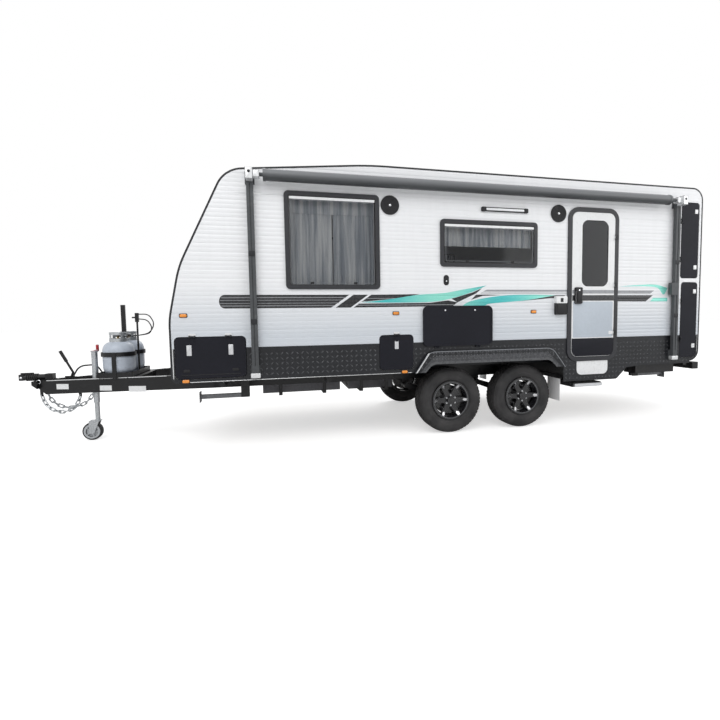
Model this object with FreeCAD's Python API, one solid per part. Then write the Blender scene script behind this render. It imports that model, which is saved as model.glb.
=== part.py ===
import FreeCAD, Part
import math
import os

V = FreeCAD.Vector

# Sizes are in millimetres. While it is built, x = 0 is the front of the body with +x rearwards,
# y = 0 is the mid-plane with the door side at -y, and z = 0 is the ground.

# Body shell
body_length = 6204.0
body_width = 2400.0
half_width = body_width / 2
body_bottom_z = 726.0
roof_top_z = 2876.0
side_wall = 34.0
end_wall = 36.0
floor_wall = 40.0
chin_r = 60.0
nose_bend_z = 1335.0
nose_bend_r = 800.0
brow_x = 100.0
brow_z = 1824.0
brow_r = 1000.0
crown_x = 537.0
crown_z = 2750.0
crown_r = 280.0
roof_start_x = 1932.0
roof_start_r = 4000.0
tail_top_r = 150.0
tail_low_r = 130.0
roof_joint_x = 780.0
tail_joint_run = 170.0
seat_gap = 0.3
door_gap = 5.0
cut_over = 20.0

# Edge moulding that covers the joint of the side walls with the front, roof and tail
moulding_band = 14.0
moulding_skin = 4.0

# Lower cladding of checker plate
skirt_top_z = 1050.0
skirt_skin = 4.0
skirt_end_inset = 10.0
front_clad_top_z = 1300.0
sill_z = 540.0
sill_lead = 50.0
sill_trail = 30.0
sill_slant_run = 173.0
sill_slant_z = 675.0
tail_skirt_z = 694.0
tail_skirt_run = 406.0

# Chassis
rail_bottom_z = 587.0
rail_depth = 150.0
rail_width = 50.0
rail_inset = 580.0
rail_y = half_width - rail_inset
rail_start_x = 300.0
rail_end_gap = 24.0
rail_end_x = body_length - rail_end_gap
cross_depth = 75.0
cross_width = 50.0
cross_share = (0.02, 0.2, 0.365, 0.69, 0.84, 0.985)
outrigger_share = (0.02, 0.2, 0.77, 0.985)
outrigger_tip = 60.0

# Drawbar
drawbar_tip_x = -1590.0
drawbar_tip_y = 62.0
drawbar_drop = 62.0
drawbar_brace_x = -560.0
drawbar_brace_width = 50.0
head_length = 50.0
head_half = 125.0
nose_cut_run = 130.0
nose_cut_rise = 110.0

# Coupling
coupling_reach = 221.0
coupling_rise = 36.0
coupling_neck_r = 32.0
coupling_ring_r = 41.0
coupling_ring_width = 9.0
coupling_ring_pitch = 20.0
coupling_ring_count = 6
coupling_tail_run = 120.0
coupling_tail_half = 38.0
coupling_block_lip = 5.0
socket_r = 25.2
socket_depth = 32.0
coupling_wall = 9.0
coupling_plate = 10.0

# Parking brake lever
lever_x = -1336.0
lever_y = 45.0
lever_thick = 12.0
lever_grip_r = 17.0
lever_grip_share = 0.5
lever_box = 90.0
lever_foot = (-1323.0, 683.0)
lever_elbow = (-1301.0, 747.0)
lever_tip = (-1418.0, 993.0)

# Safety chains
link_wire_r = 6.5
link_end_r = 16.0
link_straight = 38.0
link_play = 0.8
chain_links = 11
chain_half_turn = 80.0
chain_x = -1570.0
lug_thick = 8.0
lug_half = 16.0
lug_rim = 8.0
lug_rise = 90.0

# Jockey stand
jockey_x = -1000.0
jockey_clear = 45.0
jockey_outer_r = 30.0
jockey_inner_r = 24.0
jockey_play = 0.6
jockey_top_z = 985.0
jockey_tube_low_z = 420.0
jockey_leg_low_z = 245.0
jockey_leg_top_z = 800.0
jockey_wheel_r = 100.0
jockey_wheel_width = 70.0
jockey_trail = 55.0
jockey_axle_r = 8.0
fork_plate = 6.0
clamp_height = 90.0
clamp_wall = 12.0
crank_arm = 95.0
crank_r = 7.0
crank_knob_r = 14.0
crank_knob_length = 60.0
jockey_shoulder_share = 0.6

# Gas bottles and their rack
bottle_r = 158.0
bottle_x = -751.0
bottle_y = 180.0
bottle_base_z = 718.0
bottle_top_z = 1092.0
bottle_dome = 90.0
bottle_foot = 20.0
collar_r = 86.0
collar_height = 118.0
collar_wall = 5.0
valve_r = 16.0
valve_height = 70.0
tray_plate = 8.0
tray_rim = 45.0
tray_rim_wall = 4.0
tray_margin = 12.0
shoe_length = 40.0
post_lead = 10.0
post_x = bottle_x + post_lead
post_width = 46.0
post_thick = 18.0
post_top_z = 1509.0
bottle_band = 14.0
bottle_band_z = (935.0, 982.0)
strap_width = 40.0
strap_thick = 14.0
strap_drop = 20.0
stand_lead = 151.0
stand_x = bottle_x + stand_lead
stand_r = 10.0
stand_z = (1310.0, 1415.0)
stand_width = 36.0
stand_thick = 32.0
stand_knob_r = 9.0
stand_knob_length = 34.0

# Gas hoses and the cable on the drawbar
hose_r = 6.0
hose_turn_share = 0.45
hose_low_z = 1150.0
near_hose = (
    (-470.0, -20.0, 1400.0), (-400.0, -60.0, 1290.0), (-440.0, -115.0, 1180.0), (-600.0, -170.0, 1150.0),
)
far_hose = (
    (-500.0, 25.0, 1335.0), (-462.0, 75.0, 1250.0), (-500.0, 130.0, 1170.0), (-620.0, 172.0, 1150.0),
)
near_hose_z = 1400.0
far_hose_z = 1345.0
cable_r = 9.0
cable_x = (-1338.0, -1055.0)
cable_rise = 122.0
cable_lead = 60.0

# Wheels
tyre_r = 375.0
tyre_width = 245.0
tyre_shoulder = 34.0
tyre_bulge = 12.0
tyre_widest_share = 0.5
tyre_inset = 110.0
tyre_outer_y = half_width - tyre_inset
axle_spacing = 905.0
axle_middle_share = 0.5355
axle_x = body_length * axle_middle_share - axle_spacing / 2
rim_r = 203.0
rim_flange_r = 221.0
rim_flange = 9.0
rim_well_r = 178.0
rim_wall = 10.0
spoke_count = 6
spoke_face = 34.0
spoke_thick = 26.0
spoke_root = 66.0
spoke_tip = 46.0
hub_r = 80.0
hub_cap_r = 44.0
hub_cap_height = 38.0
drum_r = 165.0
drum_depth = 78.0
stub_r = 22.0
stub_play = 0.05
hub_back = 52.0

# Suspension
arm_run = 420.0
arm_pivot_z = 520.0
arm_depth = 62.0
arm_width = 70.0
arm_inset = 374.0
arm_y = tyre_outer_y - arm_inset
pivot_r = 34.0
pivot_bracket = 10.0
spring_r = 52.0
spring_wire_r = 7.0
spring_turns = 4
spring_lead = 70.0
spring_cup = 8.0

# Wheel wells and flares
flare_low_run = 467.0
flare_top_run = 286.0
flare_top_trail = 255.0
flare_low_trail = 453.0
flare_low_front_x = axle_x - flare_low_run
flare_top_front_x = axle_x - flare_top_run
flare_top_rear_x = axle_x + axle_spacing + flare_top_trail
flare_low_rear_x = axle_x + axle_spacing + flare_low_trail
flare_top_z = 950.0
flare_band = 52.0
flare_proud = 42.0
flare_corner_r = 90.0
well_wall = 6.0
well_depth = 392.0

# Openings of the side walls, each as front x, rear x, low z, high z
mid_window_share = 0.5291
mid_window_width = 1143.0
mid_window_x = body_length * mid_window_share - mid_window_width / 2
door_lead = 56.0
door_width = 660.0
door_x = flare_low_rear_x + door_lead
hatch_width = 377.0
hatch_trail = 9.0
hatch_x = flare_low_front_x - hatch_trail - hatch_width
upper_locker_width = 278.0
lower_locker_width = 258.0
locker_trail = 42.0
locker_x = body_length - locker_trail
front_window = (1091.0, 2021.0, 1628.0, 2562.0)
mid_window = (mid_window_x, mid_window_x + mid_window_width, 1873.0, 2354.0)
doorway = (door_x, door_x + door_width, 790.0, 2553.0)
boot_opening = (34.0, 684.0, 760.0, 1165.0)
hatch_opening = (hatch_x, hatch_x + hatch_width, 765.0, 1140.0)
upper_locker = (locker_x - upper_locker_width, locker_x, 1762.0, 2700.0)
lower_locker = (locker_x - lower_locker_width, locker_x, 765.0, 1715.0)
window_corner_r = 32.0
door_corner_r = 120.0
hatch_corner_r = 45.0
locker_corner_r = 40.0
window_bar = 26.0
window_lip = 12.0
window_proud = 22.0
pane_skin = 6.0
pane_set_back = 2.0
door_bar = 36.0
door_lip = 14.0
door_proud = 14.0
door_pane_lead = 170.0
door_pane_width = 360.0
door_pane_x = door_x + door_pane_lead
door_pane = (door_pane_x, door_pane_x + door_pane_width, 1655.0, 2423.0)
door_pane_r = 80.0
door_face_proud = 6.0
handle_lead = 76.0
handle_x = door_x + handle_lead
handle_z = 1530.0
handle_width = 90.0
handle_height = 150.0
handle_proud = 26.0
handle_r = 12.0
curtain_depth = 26.0
curtain_share = 0.94

# Hinges
pin_r = 4.0
knuckle_r = 8.5
knuckle_length = 30.0
hinge_play = 0.3
pin_play = 0.1
leaf_thick = 4.0
leaf_length = 62.0
leaf_width = 38.0
pin_out = 12.5
door_leaf_length = 40.0
lid_leaf_length = 22.0

# Folding table on the side wall
table_lead = 215.0
table_width = 808.0
table_x = mid_window_x - table_lead
table = (table_x, table_x + table_width, 1006.0, 1440.0)
table_thick = 26.0
table_corner_r = 60.0
table_rim = 16.0
table_recess = 5.0
table_off = 6.0
table_leaf = 26.0
table_drop = 2.0
table_hinge_share = (0.2, 0.8)

# Awning
roll_r = 55.0
roll_z = 2682.0
roll_out = 104.0
roll_cap = 26.0
roll_cap_r = 59.0
awning_front_x = 767.0
awning_trail = 430.0
awning_arm_x = (awning_front_x, body_length - awning_trail)
roll_inset = 125.0
roll_rear_inset = 190.0
roll_x = (awning_front_x + roll_inset, body_length - awning_trail - roll_rear_inset)
awning_arm_top_z = 2730.0
awning_arm_low_z = 752.0
awning_arm_width = 64.0
awning_arm_depth = 44.0
awning_arm_out = 24.0
awning_foot_height = 120.0
awning_foot_half = 44.0
awning_casting = 64.0
awning_casting_run = 60.0
awning_spindle_r = 18.0
holder_lead = 84.0
holder_width = 100.0
holder_z = (1553.0, 1701.0)
holder_proud = 10.0
awning_slot = 10.0

# Fittings of the walls
speaker_r = 98.0
speaker_proud = 16.0
speaker_z = 2482.0
speaker_lead = 128.0
speaker_trail = 143.0
speaker_x = (front_window[1] + speaker_lead, door_x - speaker_trail)
outlet_width = 138.0
outlet_trail = 45.0
outlet_x = door_x - outlet_trail - outlet_width
outlet = (outlet_x, outlet_x + outlet_width, 1328.0, 1537.0)
outlet_proud = 48.0
outlet_r = 16.0
lamp_bar_width = 550.0
lamp_bar_trail = 117.0
lamp_bar_x = mid_window_x + mid_window_width - lamp_bar_trail - lamp_bar_width
lamp_bar = (lamp_bar_x, lamp_bar_x + lamp_bar_width, 2468.0, 2512.0)
lamp_bar_proud = 24.0
vent_lead = 360.0
vent_width = 500.0
vent_x = mid_window_x - vent_lead
vent = (vent_x, vent_x + vent_width, 1180.0, 1480.0)
vent_proud = 12.0
vent_r = 20.0
vent_slats = 7
marker_size = (62.0, 30.0)
marker_proud = 16.0
marker_z = 1366.0
marker_low_z = 742.0
marker_front_x = 127.0
marker_lead = 180.0
marker_window_lead = 22.0
marker_low_lead = 114.0
marker_x = (
    marker_front_x, front_window[1] + marker_lead, mid_window_x + mid_window_width - marker_window_lead,
)
marker_low_x = (marker_front_x, flare_low_front_x - marker_low_lead)
tail_lamp_inset = 210.0
tail_lamp_y = half_width - tail_lamp_inset
tail_lamp_z = (940.0, 1240.0)
tail_lamp_width = 110.0
tail_lamp_proud = 30.0

# Step below the door
step_width = 380.0
step_lead = 130.0
step_x = (door_x + step_lead, door_x + step_lead + step_width)
step_z = 500.0
step_thick = 34.0
step_depth = 250.0
step_inset = 24.0
step_y = half_width - step_inset
step_case = 4.0
step_runner = 8.0

# Mud flaps
flap_lead = 34.0
flap_x = flare_low_rear_x + flap_lead
flap_size = (6.0, 250.0, 270.0)
flap_top_z = 560.0
flap_inset = 230.0
flap_y = half_width - flap_inset
flap_bar = 30.0
flap_bar_height = 50.0

# Corner steadies
steady_length = 440.0
steady_pivot_z = 535.0
steady_front_x = 640.0
steady_rear_trail = 684.0
steady_rear_x = body_length - steady_rear_trail
steady_inset = 320.0
steady_y = half_width - steady_inset
steady_width = 46.0
steady_height = 42.0
steady_foot = 110.0
steady_foot_plate = 6.0
steady_pin_r = 8.0
steady_ear = 6.0

# Water tanks under the floor
tank_x = ((800.0, 1700.0), (1800.0, 2350.0))
tank_clear = 200.0
tank_half = rail_y - tank_clear
tank_depth = 200.0
tank_strap = 40.0
tank_strap_skin = 4.0
tank_strap_share = (0.2, 0.75)

# Tail bar and spare wheel
bar_depth = 90.0
bar_height = 90.0
bar_inset = 120.0
bar_half = half_width - bar_inset
bar_out = 60.0
bar_arm_inset = 200.0
bar_arm_y = rail_y - bar_arm_inset
bar_z = 640.0
stow_trail = 324.0
stow_length = 580.0
stow_inset = 50.0
stow_width = 190.0
stow_low_z = 585.0
spare_y = 0.0
spare_z = 1130.0
spare_post = 70.0
spare_drum_r = 62.0
spare_clear = 14.0

# Roof
cooler_length = 950.0
cooler_middle_share = 0.5118
cooler_front_x = body_length * cooler_middle_share - cooler_length / 2
cooler_x = (cooler_front_x, cooler_front_x + cooler_length)
cooler_half = 330.0
cooler_height = 230.0
cooler_taper = 70.0
roof_hatch_x = (2400.0, 4950.0)
roof_hatch_half = 210.0
roof_hatch_height = 62.0
roof_hatch_taper = 26.0

# Partitions behind the lids
liner_wall = 12.0
boot_depth_x = 760.0
locker_depth = 440.0
locker_inner_y = half_width - locker_depth

rail_top_z = rail_bottom_z + rail_depth
floor_top_z = rail_top_z + floor_wall
inner_half = half_width - side_wall


def box(x0, x1, y0, y1, z0, z1):
    return Part.makeBox(x1 - x0, y1 - y0, z1 - z0, V(x0, y0, z0))


def rod(start, end, radius):
    return Part.makeCylinder(radius, (end - start).Length, start, end - start)


def fuse(shapes):
    shapes = list(shapes)
    if len(shapes) == 1:
        return shapes[0]
    return shapes[0].multiFuse(shapes[1:]).removeSplitter()


def group(shapes):
    """Separate solids of one node."""
    solids = []
    for shape in shapes:
        solids.extend(shape.Solids)
    return Part.makeCompound(solids)


def mirrored(shape):
    return shape.mirror(V(0, 0, 0), V(0, 1, 0))


def both_sides(shape):
    return group([shape, mirrored(shape)])


def wire_of(corners):
    """Closed outline in the xz plane; each corner is (x, z, radius)."""
    count = len(corners)
    tangents = []
    for i in range(count):
        before, here, after = corners[i - 1], corners[i], corners[(i + 1) % count]
        point = V(here[0], 0, here[1])
        back = (V(before[0], 0, before[1]) - point).normalize()
        ahead = (V(after[0], 0, after[1]) - point).normalize()
        radius = here[2]
        half = math.acos(max(-1.0, min(1.0, back.dot(ahead)))) / 2
        if radius == 0:
            tangents.append((point, point, None))
            continue
        run = radius / math.tan(half)
        middle = (back + ahead).normalize()
        centre = point + middle * (radius / math.sin(half))
        tangents.append((point + back * run, point + ahead * run, centre - middle * radius))
    edges = []
    for i in range(count):
        start, end, middle = tangents[i]
        if middle is not None:
            edges.append(Part.Arc(start, middle, end).toShape())
        next_start = tangents[(i + 1) % count][0]
        if (next_start - end).Length > 0:
            edges.append(Part.LineSegment(end, next_start).toShape())
    return Part.Wire(edges)


def slab(corners, y0, y1):
    """The outline, extruded across the vehicle from y0 to y1."""
    face = Part.Face(wire_of(corners))
    face.translate(V(0, min(y0, y1), 0))
    return face.extrude(V(0, abs(y1 - y0), 0))


def rect(span, radius, grow=0.0):
    x0, x1, z0, z1 = span
    radius = max(radius + grow, 0)
    return [
        (x0 - grow, z0 - grow, radius),
        (x1 + grow, z0 - grow, radius),
        (x1 + grow, z1 + grow, radius),
        (x0 - grow, z1 + grow, radius),
    ]


def near(out):
    """y of a plane that stands out from the door side's wall face by the given distance."""
    return -(half_width + out)


def wall_slab(span, radius, inner, outer, grow=0.0):
    """A rounded rectangle on the door side, between two distances out from the wall face."""
    return slab(rect(span, radius, grow), near(outer), near(inner))


body_corners = [
    (0, body_bottom_z, chin_r),
    (0, nose_bend_z, nose_bend_r),
    (brow_x, brow_z, brow_r),
    (crown_x, crown_z, crown_r),
    (roof_start_x, roof_top_z, roof_start_r),
    (body_length, roof_top_z, tail_top_r),
    (body_length, body_bottom_z, tail_low_r),
]


def body_block(inset, y0, y1):
    """The side profile of the body, drawn in by an inset, between two planes."""
    wire = wire_of(body_corners)
    if inset:
        wire = wire.makeOffset2D(-inset)
    face = Part.Face(wire)
    face.translate(V(0, y0, 0))
    return face.extrude(V(0, y1 - y0, 0))


def arch_corners(grow):
    """The wheel opening in side view, closed well below the floor."""
    return [
        (flare_low_front_x + flare_band - grow, sill_z - cut_over, 0),
        (flare_low_front_x + flare_band - grow, body_bottom_z, 0),
        (flare_top_front_x + flare_band / 2 - grow, flare_top_z - flare_band + grow, flare_corner_r + grow),
        (flare_top_rear_x - flare_band / 2 + grow, flare_top_z - flare_band + grow, flare_corner_r + grow),
        (flare_low_rear_x - flare_band + grow, body_bottom_z, 0),
        (flare_low_rear_x - flare_band + grow, sill_z - cut_over, 0),
    ]


def wheel_opening(y0, y1):
    return slab(arch_corners(0), y0, y1)


# Side walls

def wall_with(openings):
    wall = body_block(0, -half_width, -inner_half)
    holes = [wheel_opening(-half_width - cut_over, -inner_half + cut_over)]
    for span, radius in openings:
        holes.append(wall_slab(span, radius, -side_wall - cut_over, cut_over))
    return wall.cut(holes)


def frame_openings():
    return [(front_window, window_corner_r), (mid_window, window_corner_r)]


def lid_openings():
    return [(boot_opening, hatch_corner_r)]


def left_wall():
    openings = frame_openings() + lid_openings()
    openings += [(doorway, door_corner_r), (hatch_opening, hatch_corner_r)]
    openings += [(upper_locker, locker_corner_r), (lower_locker, locker_corner_r)]
    return wall_with(openings)


def right_wall():
    return mirrored(wall_with(frame_openings() + lid_openings()))


# Front, roof, tail and floor

def shell_ring():
    outer = body_block(0, -inner_half, inner_half)
    inner = body_block(end_wall, -inner_half - cut_over, inner_half + cut_over)
    below = box(
        end_wall, body_length - end_wall, -half_width, half_width,
        body_bottom_z - cut_over, floor_top_z,
    )
    return outer.cut([inner, below])


def region(x0, x1):
    return box(x0, x1, -half_width, half_width, 0, roof_top_z + cut_over)


def front_wall():
    return shell_ring().common(region(-cut_over, roof_joint_x))


def roof():
    return shell_ring().common(region(roof_joint_x, body_length - tail_joint_run))


def rear_wall():
    return shell_ring().common(region(body_length - tail_joint_run, body_length + cut_over))


def well_block(inset):
    low = floor_top_z - floor_wall - cut_over if inset else rail_top_z
    return box(
        flare_low_front_x + inset,
        flare_low_rear_x - inset,
        -inner_half - (cut_over if inset else 0),
        -half_width + well_depth - inset,
        low,
        flare_top_z - inset,
    )


def floor():
    plate = box(
        end_wall, body_length - end_wall, -inner_half, inner_half, rail_top_z, floor_top_z
    )
    return plate.cut([well_block(0), mirrored(well_block(0))])


# Edge mouldings

def edge_moulding():
    """A strip that wraps the side wall's edge from under the chin over the roof to the tail's foot."""
    outer = body_block(-moulding_skin, -half_width - moulding_skin, -half_width + moulding_band)
    hollow = body_block(0, -half_width, -half_width + moulding_band + cut_over)
    face = body_block(moulding_band, -half_width - moulding_skin - cut_over, -half_width + cut_over)
    below = box(
        chin_r - seat_gap, body_length - tail_low_r + seat_gap, -half_width - cut_over, half_width,
        0, body_bottom_z + moulding_band + cut_over,
    )
    return outer.cut([hollow, face, below])


def edge_mouldings():
    return both_sides(edge_moulding())


# Lower cladding

def side_skirt(openings):
    low = body_bottom_z
    door_rear_x = door_x + door_width
    corners = [
        (skirt_end_inset + moulding_band, low, 0),
        (door_x - sill_lead, low, 0),
        (door_x - sill_lead, sill_z, 0),
        (door_rear_x + sill_trail, sill_z, chin_r),
        (door_rear_x + sill_slant_run, sill_slant_z, 0),
        (door_rear_x + tail_skirt_run, tail_skirt_z, 0),
        (body_length - tail_low_r, tail_skirt_z, 0),
        (body_length - moulding_band - skirt_end_inset, body_bottom_z + chin_r, 0),
        (body_length - moulding_band - skirt_end_inset, skirt_top_z, 0),
        (skirt_end_inset + moulding_band, skirt_top_z, 0),
    ]
    plate = slab(corners, near(skirt_skin), near(0))
    holes = [slab(arch_corners(0), near(skirt_skin + cut_over), near(-cut_over))]
    kept = body_block(moulding_band + seat_gap, near(skirt_skin + cut_over), near(-cut_over))
    for x0, x1 in ((-cut_over, chin_r), (body_length - tail_low_r, body_length + cut_over)):
        corner = box(x0, x1, near(skirt_skin + cut_over), near(-cut_over), 0, skirt_top_z + cut_over)
        holes.append(corner.cut(kept))
    for span, radius in openings:
        holes.append(wall_slab(span, radius, -cut_over, cut_over))
    return plate.cut(holes)


def skirts():
    left = side_skirt([
        (boot_opening, hatch_corner_r),
        (hatch_opening, hatch_corner_r),
        (doorway, door_corner_r),
        (lower_locker, locker_corner_r),
    ])
    right = mirrored(side_skirt([(boot_opening, hatch_corner_r)]))
    plate_half = half_width - moulding_band - skirt_end_inset
    front = box(
        -skirt_skin, 0, -plate_half, plate_half, body_bottom_z + chin_r, front_clad_top_z - chin_r
    )
    rear = box(
        body_length, body_length + skirt_skin, -plate_half, plate_half,
        body_bottom_z + tail_low_r, skirt_top_z,
    )
    return group([left, right, front, rear])


# Wheel flares with their wells

def wheel_arch():
    outer = slab(arch_corners(flare_band), near(skirt_skin + flare_proud), near(skirt_skin))
    keep = box(
        flare_low_front_x - cut_over, flare_low_rear_x + cut_over,
        near(skirt_skin + flare_proud), near(skirt_skin), body_bottom_z, flare_top_z + cut_over,
    )
    opening = wheel_opening(near(skirt_skin + flare_proud + cut_over), near(-cut_over))
    flare = outer.common(keep).cut(opening)
    well = well_block(0).cut(well_block(well_wall))
    return group([flare, well])


def wheel_arches():
    return both_sides(wheel_arch())


# Windows

def window_frame(span):
    sleeve = wall_slab(span, window_corner_r, -side_wall, 0, -seat_gap)
    flange = wall_slab(span, window_corner_r, 0, window_proud, window_lip)
    opening = wall_slab(span, window_corner_r, -side_wall - cut_over, window_proud + cut_over, -window_bar)
    return fuse([sleeve, flange]).cut(opening)


def window_frames():
    shapes = [window_frame(front_window), window_frame(mid_window)]
    return group(shapes + [mirrored(s) for s in shapes])


def window_pane(span):
    out = window_proud - pane_set_back
    return wall_slab(span, window_corner_r, out - pane_skin, out, -window_bar - seat_gap)


def window_panes():
    shapes = [window_pane(front_window), window_pane(mid_window)]
    return group(shapes + [mirrored(s) for s in shapes])


def curtains():
    x0, x1, z0, z1 = front_window
    spare = (x1 - x0) * (1 - curtain_share) / 2
    inner = side_wall + seat_gap
    shape = box(
        x0 + spare, x1 - spare, near(-inner), near(-inner - curtain_depth),
        z0 + spare, z1 - spare,
    )
    return both_sides(shape)


# Hinges: in their own frame the pin lies along x at the origin, the wall stands at y = pin_out
# with the fixed leaf above and the moving leaf below.

def fixed_hinge(length):
    reach = knuckle_length / 2 + hinge_play
    pin = rod(V(-reach - knuckle_length / 2, 0, 0), V(reach + knuckle_length / 2, 0, 0), pin_r)
    pieces = [pin]
    for side in (-1, 1):
        start = V(side * reach, 0, 0)
        end = V(side * (reach + knuckle_length / 2), 0, 0)
        pieces.append(rod(start, end, knuckle_r))
        x0, x1 = sorted((start.x, end.x))
        pieces.append(box(x0, x1, 0, pin_out, 0, knuckle_r + leaf_thick))
    width = reach + knuckle_length / 2
    pieces.append(
        box(-width, width, pin_out - leaf_thick, pin_out, knuckle_r, knuckle_r + length)
    )
    return fuse(pieces)


def moving_hinge():
    half = knuckle_length / 2
    knuckle = rod(V(-half, 0, 0), V(half, 0, 0), knuckle_r)
    web = box(-half, half, 0, pin_out, -knuckle_r - leaf_thick, 0)
    leaf = box(
        -leaf_width / 2, leaf_width / 2, pin_out - leaf_thick, pin_out,
        -knuckle_r - leaf_length, -knuckle_r,
    )
    bore = rod(V(-half - cut_over, 0, 0), V(half + cut_over, 0, 0), pin_r + pin_play)
    return fuse([knuckle, web, leaf]).cut(bore)


def hinge_at(shape, x, z, turn, out):
    """Puts a hinge shape on the door side; turn is about the wall's normal, in degrees."""
    placed = shape.copy()
    placed.rotate(V(0, 0, 0), V(0, 1, 0), turn)
    placed.translate(V(x, near(pin_out + out), z))
    return placed


def hinge_places(span, edge, count):
    """Pin centres along an edge of a lid, in the middle of the gap round it."""
    x0, x1, z0, z1 = span
    places = []
    for i in range(count):
        share = (i + 1 / 2) / count
        if edge == "top":
            places.append((x0 + (x1 - x0) * share, z1 - door_gap / 2, 0))
        if edge == "bottom":
            places.append((x0 + (x1 - x0) * share, z0 - door_gap / 2, 180))
        if edge == "rear":
            places.append((x1 - door_gap / 2, z0 + (z1 - z0) * share, 90))
        if edge == "front":
            places.append((x0 + door_gap / 2, z0 + (z1 - z0) * share, -90))
    return places


def lid(span, radius, proud, edge, count):
    """A lid that fills its opening less the gap, with its half of the hinges."""
    panel = wall_slab(span, radius, -side_wall, proud, -door_gap)
    hinges = [hinge_at(moving_hinge(), x, z, turn, proud) for x, z, turn in hinge_places(span, edge, count)]
    return fuse([panel] + hinges)


def lid_hinges(span, proud, edge, count, length=lid_leaf_length):
    shape = fixed_hinge(length)
    return [hinge_at(shape, x, z, turn, proud) for x, z, turn in hinge_places(span, edge, count)]


def boot_lid():
    return lid(boot_opening, hatch_corner_r, skirt_skin, "top", 2)


def boot_door_left():
    return boot_lid()


def boot_door_right():
    return mirrored(boot_lid())


def service_hatch():
    return lid(hatch_opening, hatch_corner_r, skirt_skin, "top", 1)


def locker_door_upper():
    return lid(upper_locker, locker_corner_r, 0, "front", 2)


def locker_door_lower():
    return lid(lower_locker, locker_corner_r, skirt_skin, "front", 2)


# Entry door

def door_frame():
    sleeve = wall_slab(doorway, door_corner_r, -side_wall, skirt_skin, -seat_gap)
    flange = wall_slab(doorway, door_corner_r, skirt_skin, skirt_skin + door_proud, door_lip)
    opening = wall_slab(
        doorway, door_corner_r, -side_wall - cut_over, skirt_skin + door_proud + cut_over, -door_bar
    )
    backing = wall_slab(doorway, door_corner_r, 0, skirt_skin, door_lip)
    backing = backing.cut(wall_slab(doorway, door_corner_r, -cut_over, skirt_skin + cut_over))
    over = box(
        doorway[0] - door_lip, doorway[1] + door_lip, near(skirt_skin), near(0),
        skirt_top_z, doorway[3] + door_lip,
    )
    return fuse([sleeve, flange, backing.common(over)]).cut(opening)


def door_leaf_span():
    x0, x1, z0, z1 = doorway
    return (x0 + door_bar, x1 - door_bar, z0 + door_bar, z1 - door_bar)


def entry_door():
    span = door_leaf_span()
    radius = door_corner_r - door_bar
    out = skirt_skin + door_proud
    panel = wall_slab(span, radius, -side_wall, out, -door_gap)
    hinges = [hinge_at(moving_hinge(), x, z, turn, out) for x, z, turn in hinge_places(span, "rear", 3)]
    window = wall_slab(door_pane, door_pane_r, -side_wall - cut_over, out + cut_over)
    handle_span = (
        handle_x, handle_x + handle_width, handle_z - handle_height / 2, handle_z + handle_height / 2
    )
    handle = wall_slab(handle_span, handle_r, out, out + handle_proud)
    return fuse([panel.cut(window), handle] + hinges)


def door_glass():
    out = skirt_skin + door_proud
    face = out - door_face_proud
    return wall_slab(door_pane, door_pane_r, face - pane_skin, face, -seat_gap)


def hinges():
    shapes = []
    boot = group(lid_hinges(boot_opening, skirt_skin, "top", 2))
    shapes += [boot, mirrored(boot)]
    shapes += lid_hinges(hatch_opening, skirt_skin, "top", 1)
    shapes += lid_hinges(upper_locker, 0, "front", 2)
    shapes += lid_hinges(lower_locker, skirt_skin, "front", 2)
    shapes += lid_hinges(door_leaf_span(), skirt_skin + door_proud, "rear", 3, door_leaf_length)
    shapes += [hinge_at(fixed_hinge(table_leaf), x, z, 180, skirt_skin) for x, z in table_pins()]
    return group(shapes)


# Folding table

def table_pins():
    x0, x1, z0, z1 = table
    z = z0 - knuckle_r - table_drop
    return [(x0 + (x1 - x0) * share, z) for share in table_hinge_share]


def table_knuckle(x, z):
    """The table's half of a hinge, standing up into its lower edge."""
    half = knuckle_length / 2
    y = near(skirt_skin + pin_out)
    knuckle = rod(V(x - half, y, z), V(x + half, y, z), knuckle_r)
    web = box(x - half, x + half, y - knuckle_r / 2, y + knuckle_r / 2, z, z + knuckle_r + table_drop)
    bore = rod(V(x - half - cut_over, y, z), V(x + half + cut_over, y, z), pin_r + pin_play)
    return fuse([knuckle, web]).cut(bore)


def picnic_table():
    span = table
    plate = wall_slab(span, table_corner_r, skirt_skin + table_off, skirt_skin + table_off + table_thick)
    recess = wall_slab(
        span, table_corner_r, skirt_skin + table_off + table_thick - table_recess,
        skirt_skin + table_off + table_thick + cut_over, -table_rim,
    )
    return fuse([plate.cut(recess)] + [table_knuckle(x, z) for x, z in table_pins()])


# Awning

def awning_roll():
    x0, x1 = roll_x
    y = near(roll_out)
    pieces = [rod(V(x0, y, roll_z), V(x1, y, roll_z), roll_r)]
    pieces.append(rod(V(x0, y, roll_z), V(x0 + roll_cap, y, roll_z), roll_cap_r))
    pieces.append(rod(V(x1 - roll_cap, y, roll_z), V(x1, y, roll_z), roll_cap_r))
    return fuse(pieces)


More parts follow.
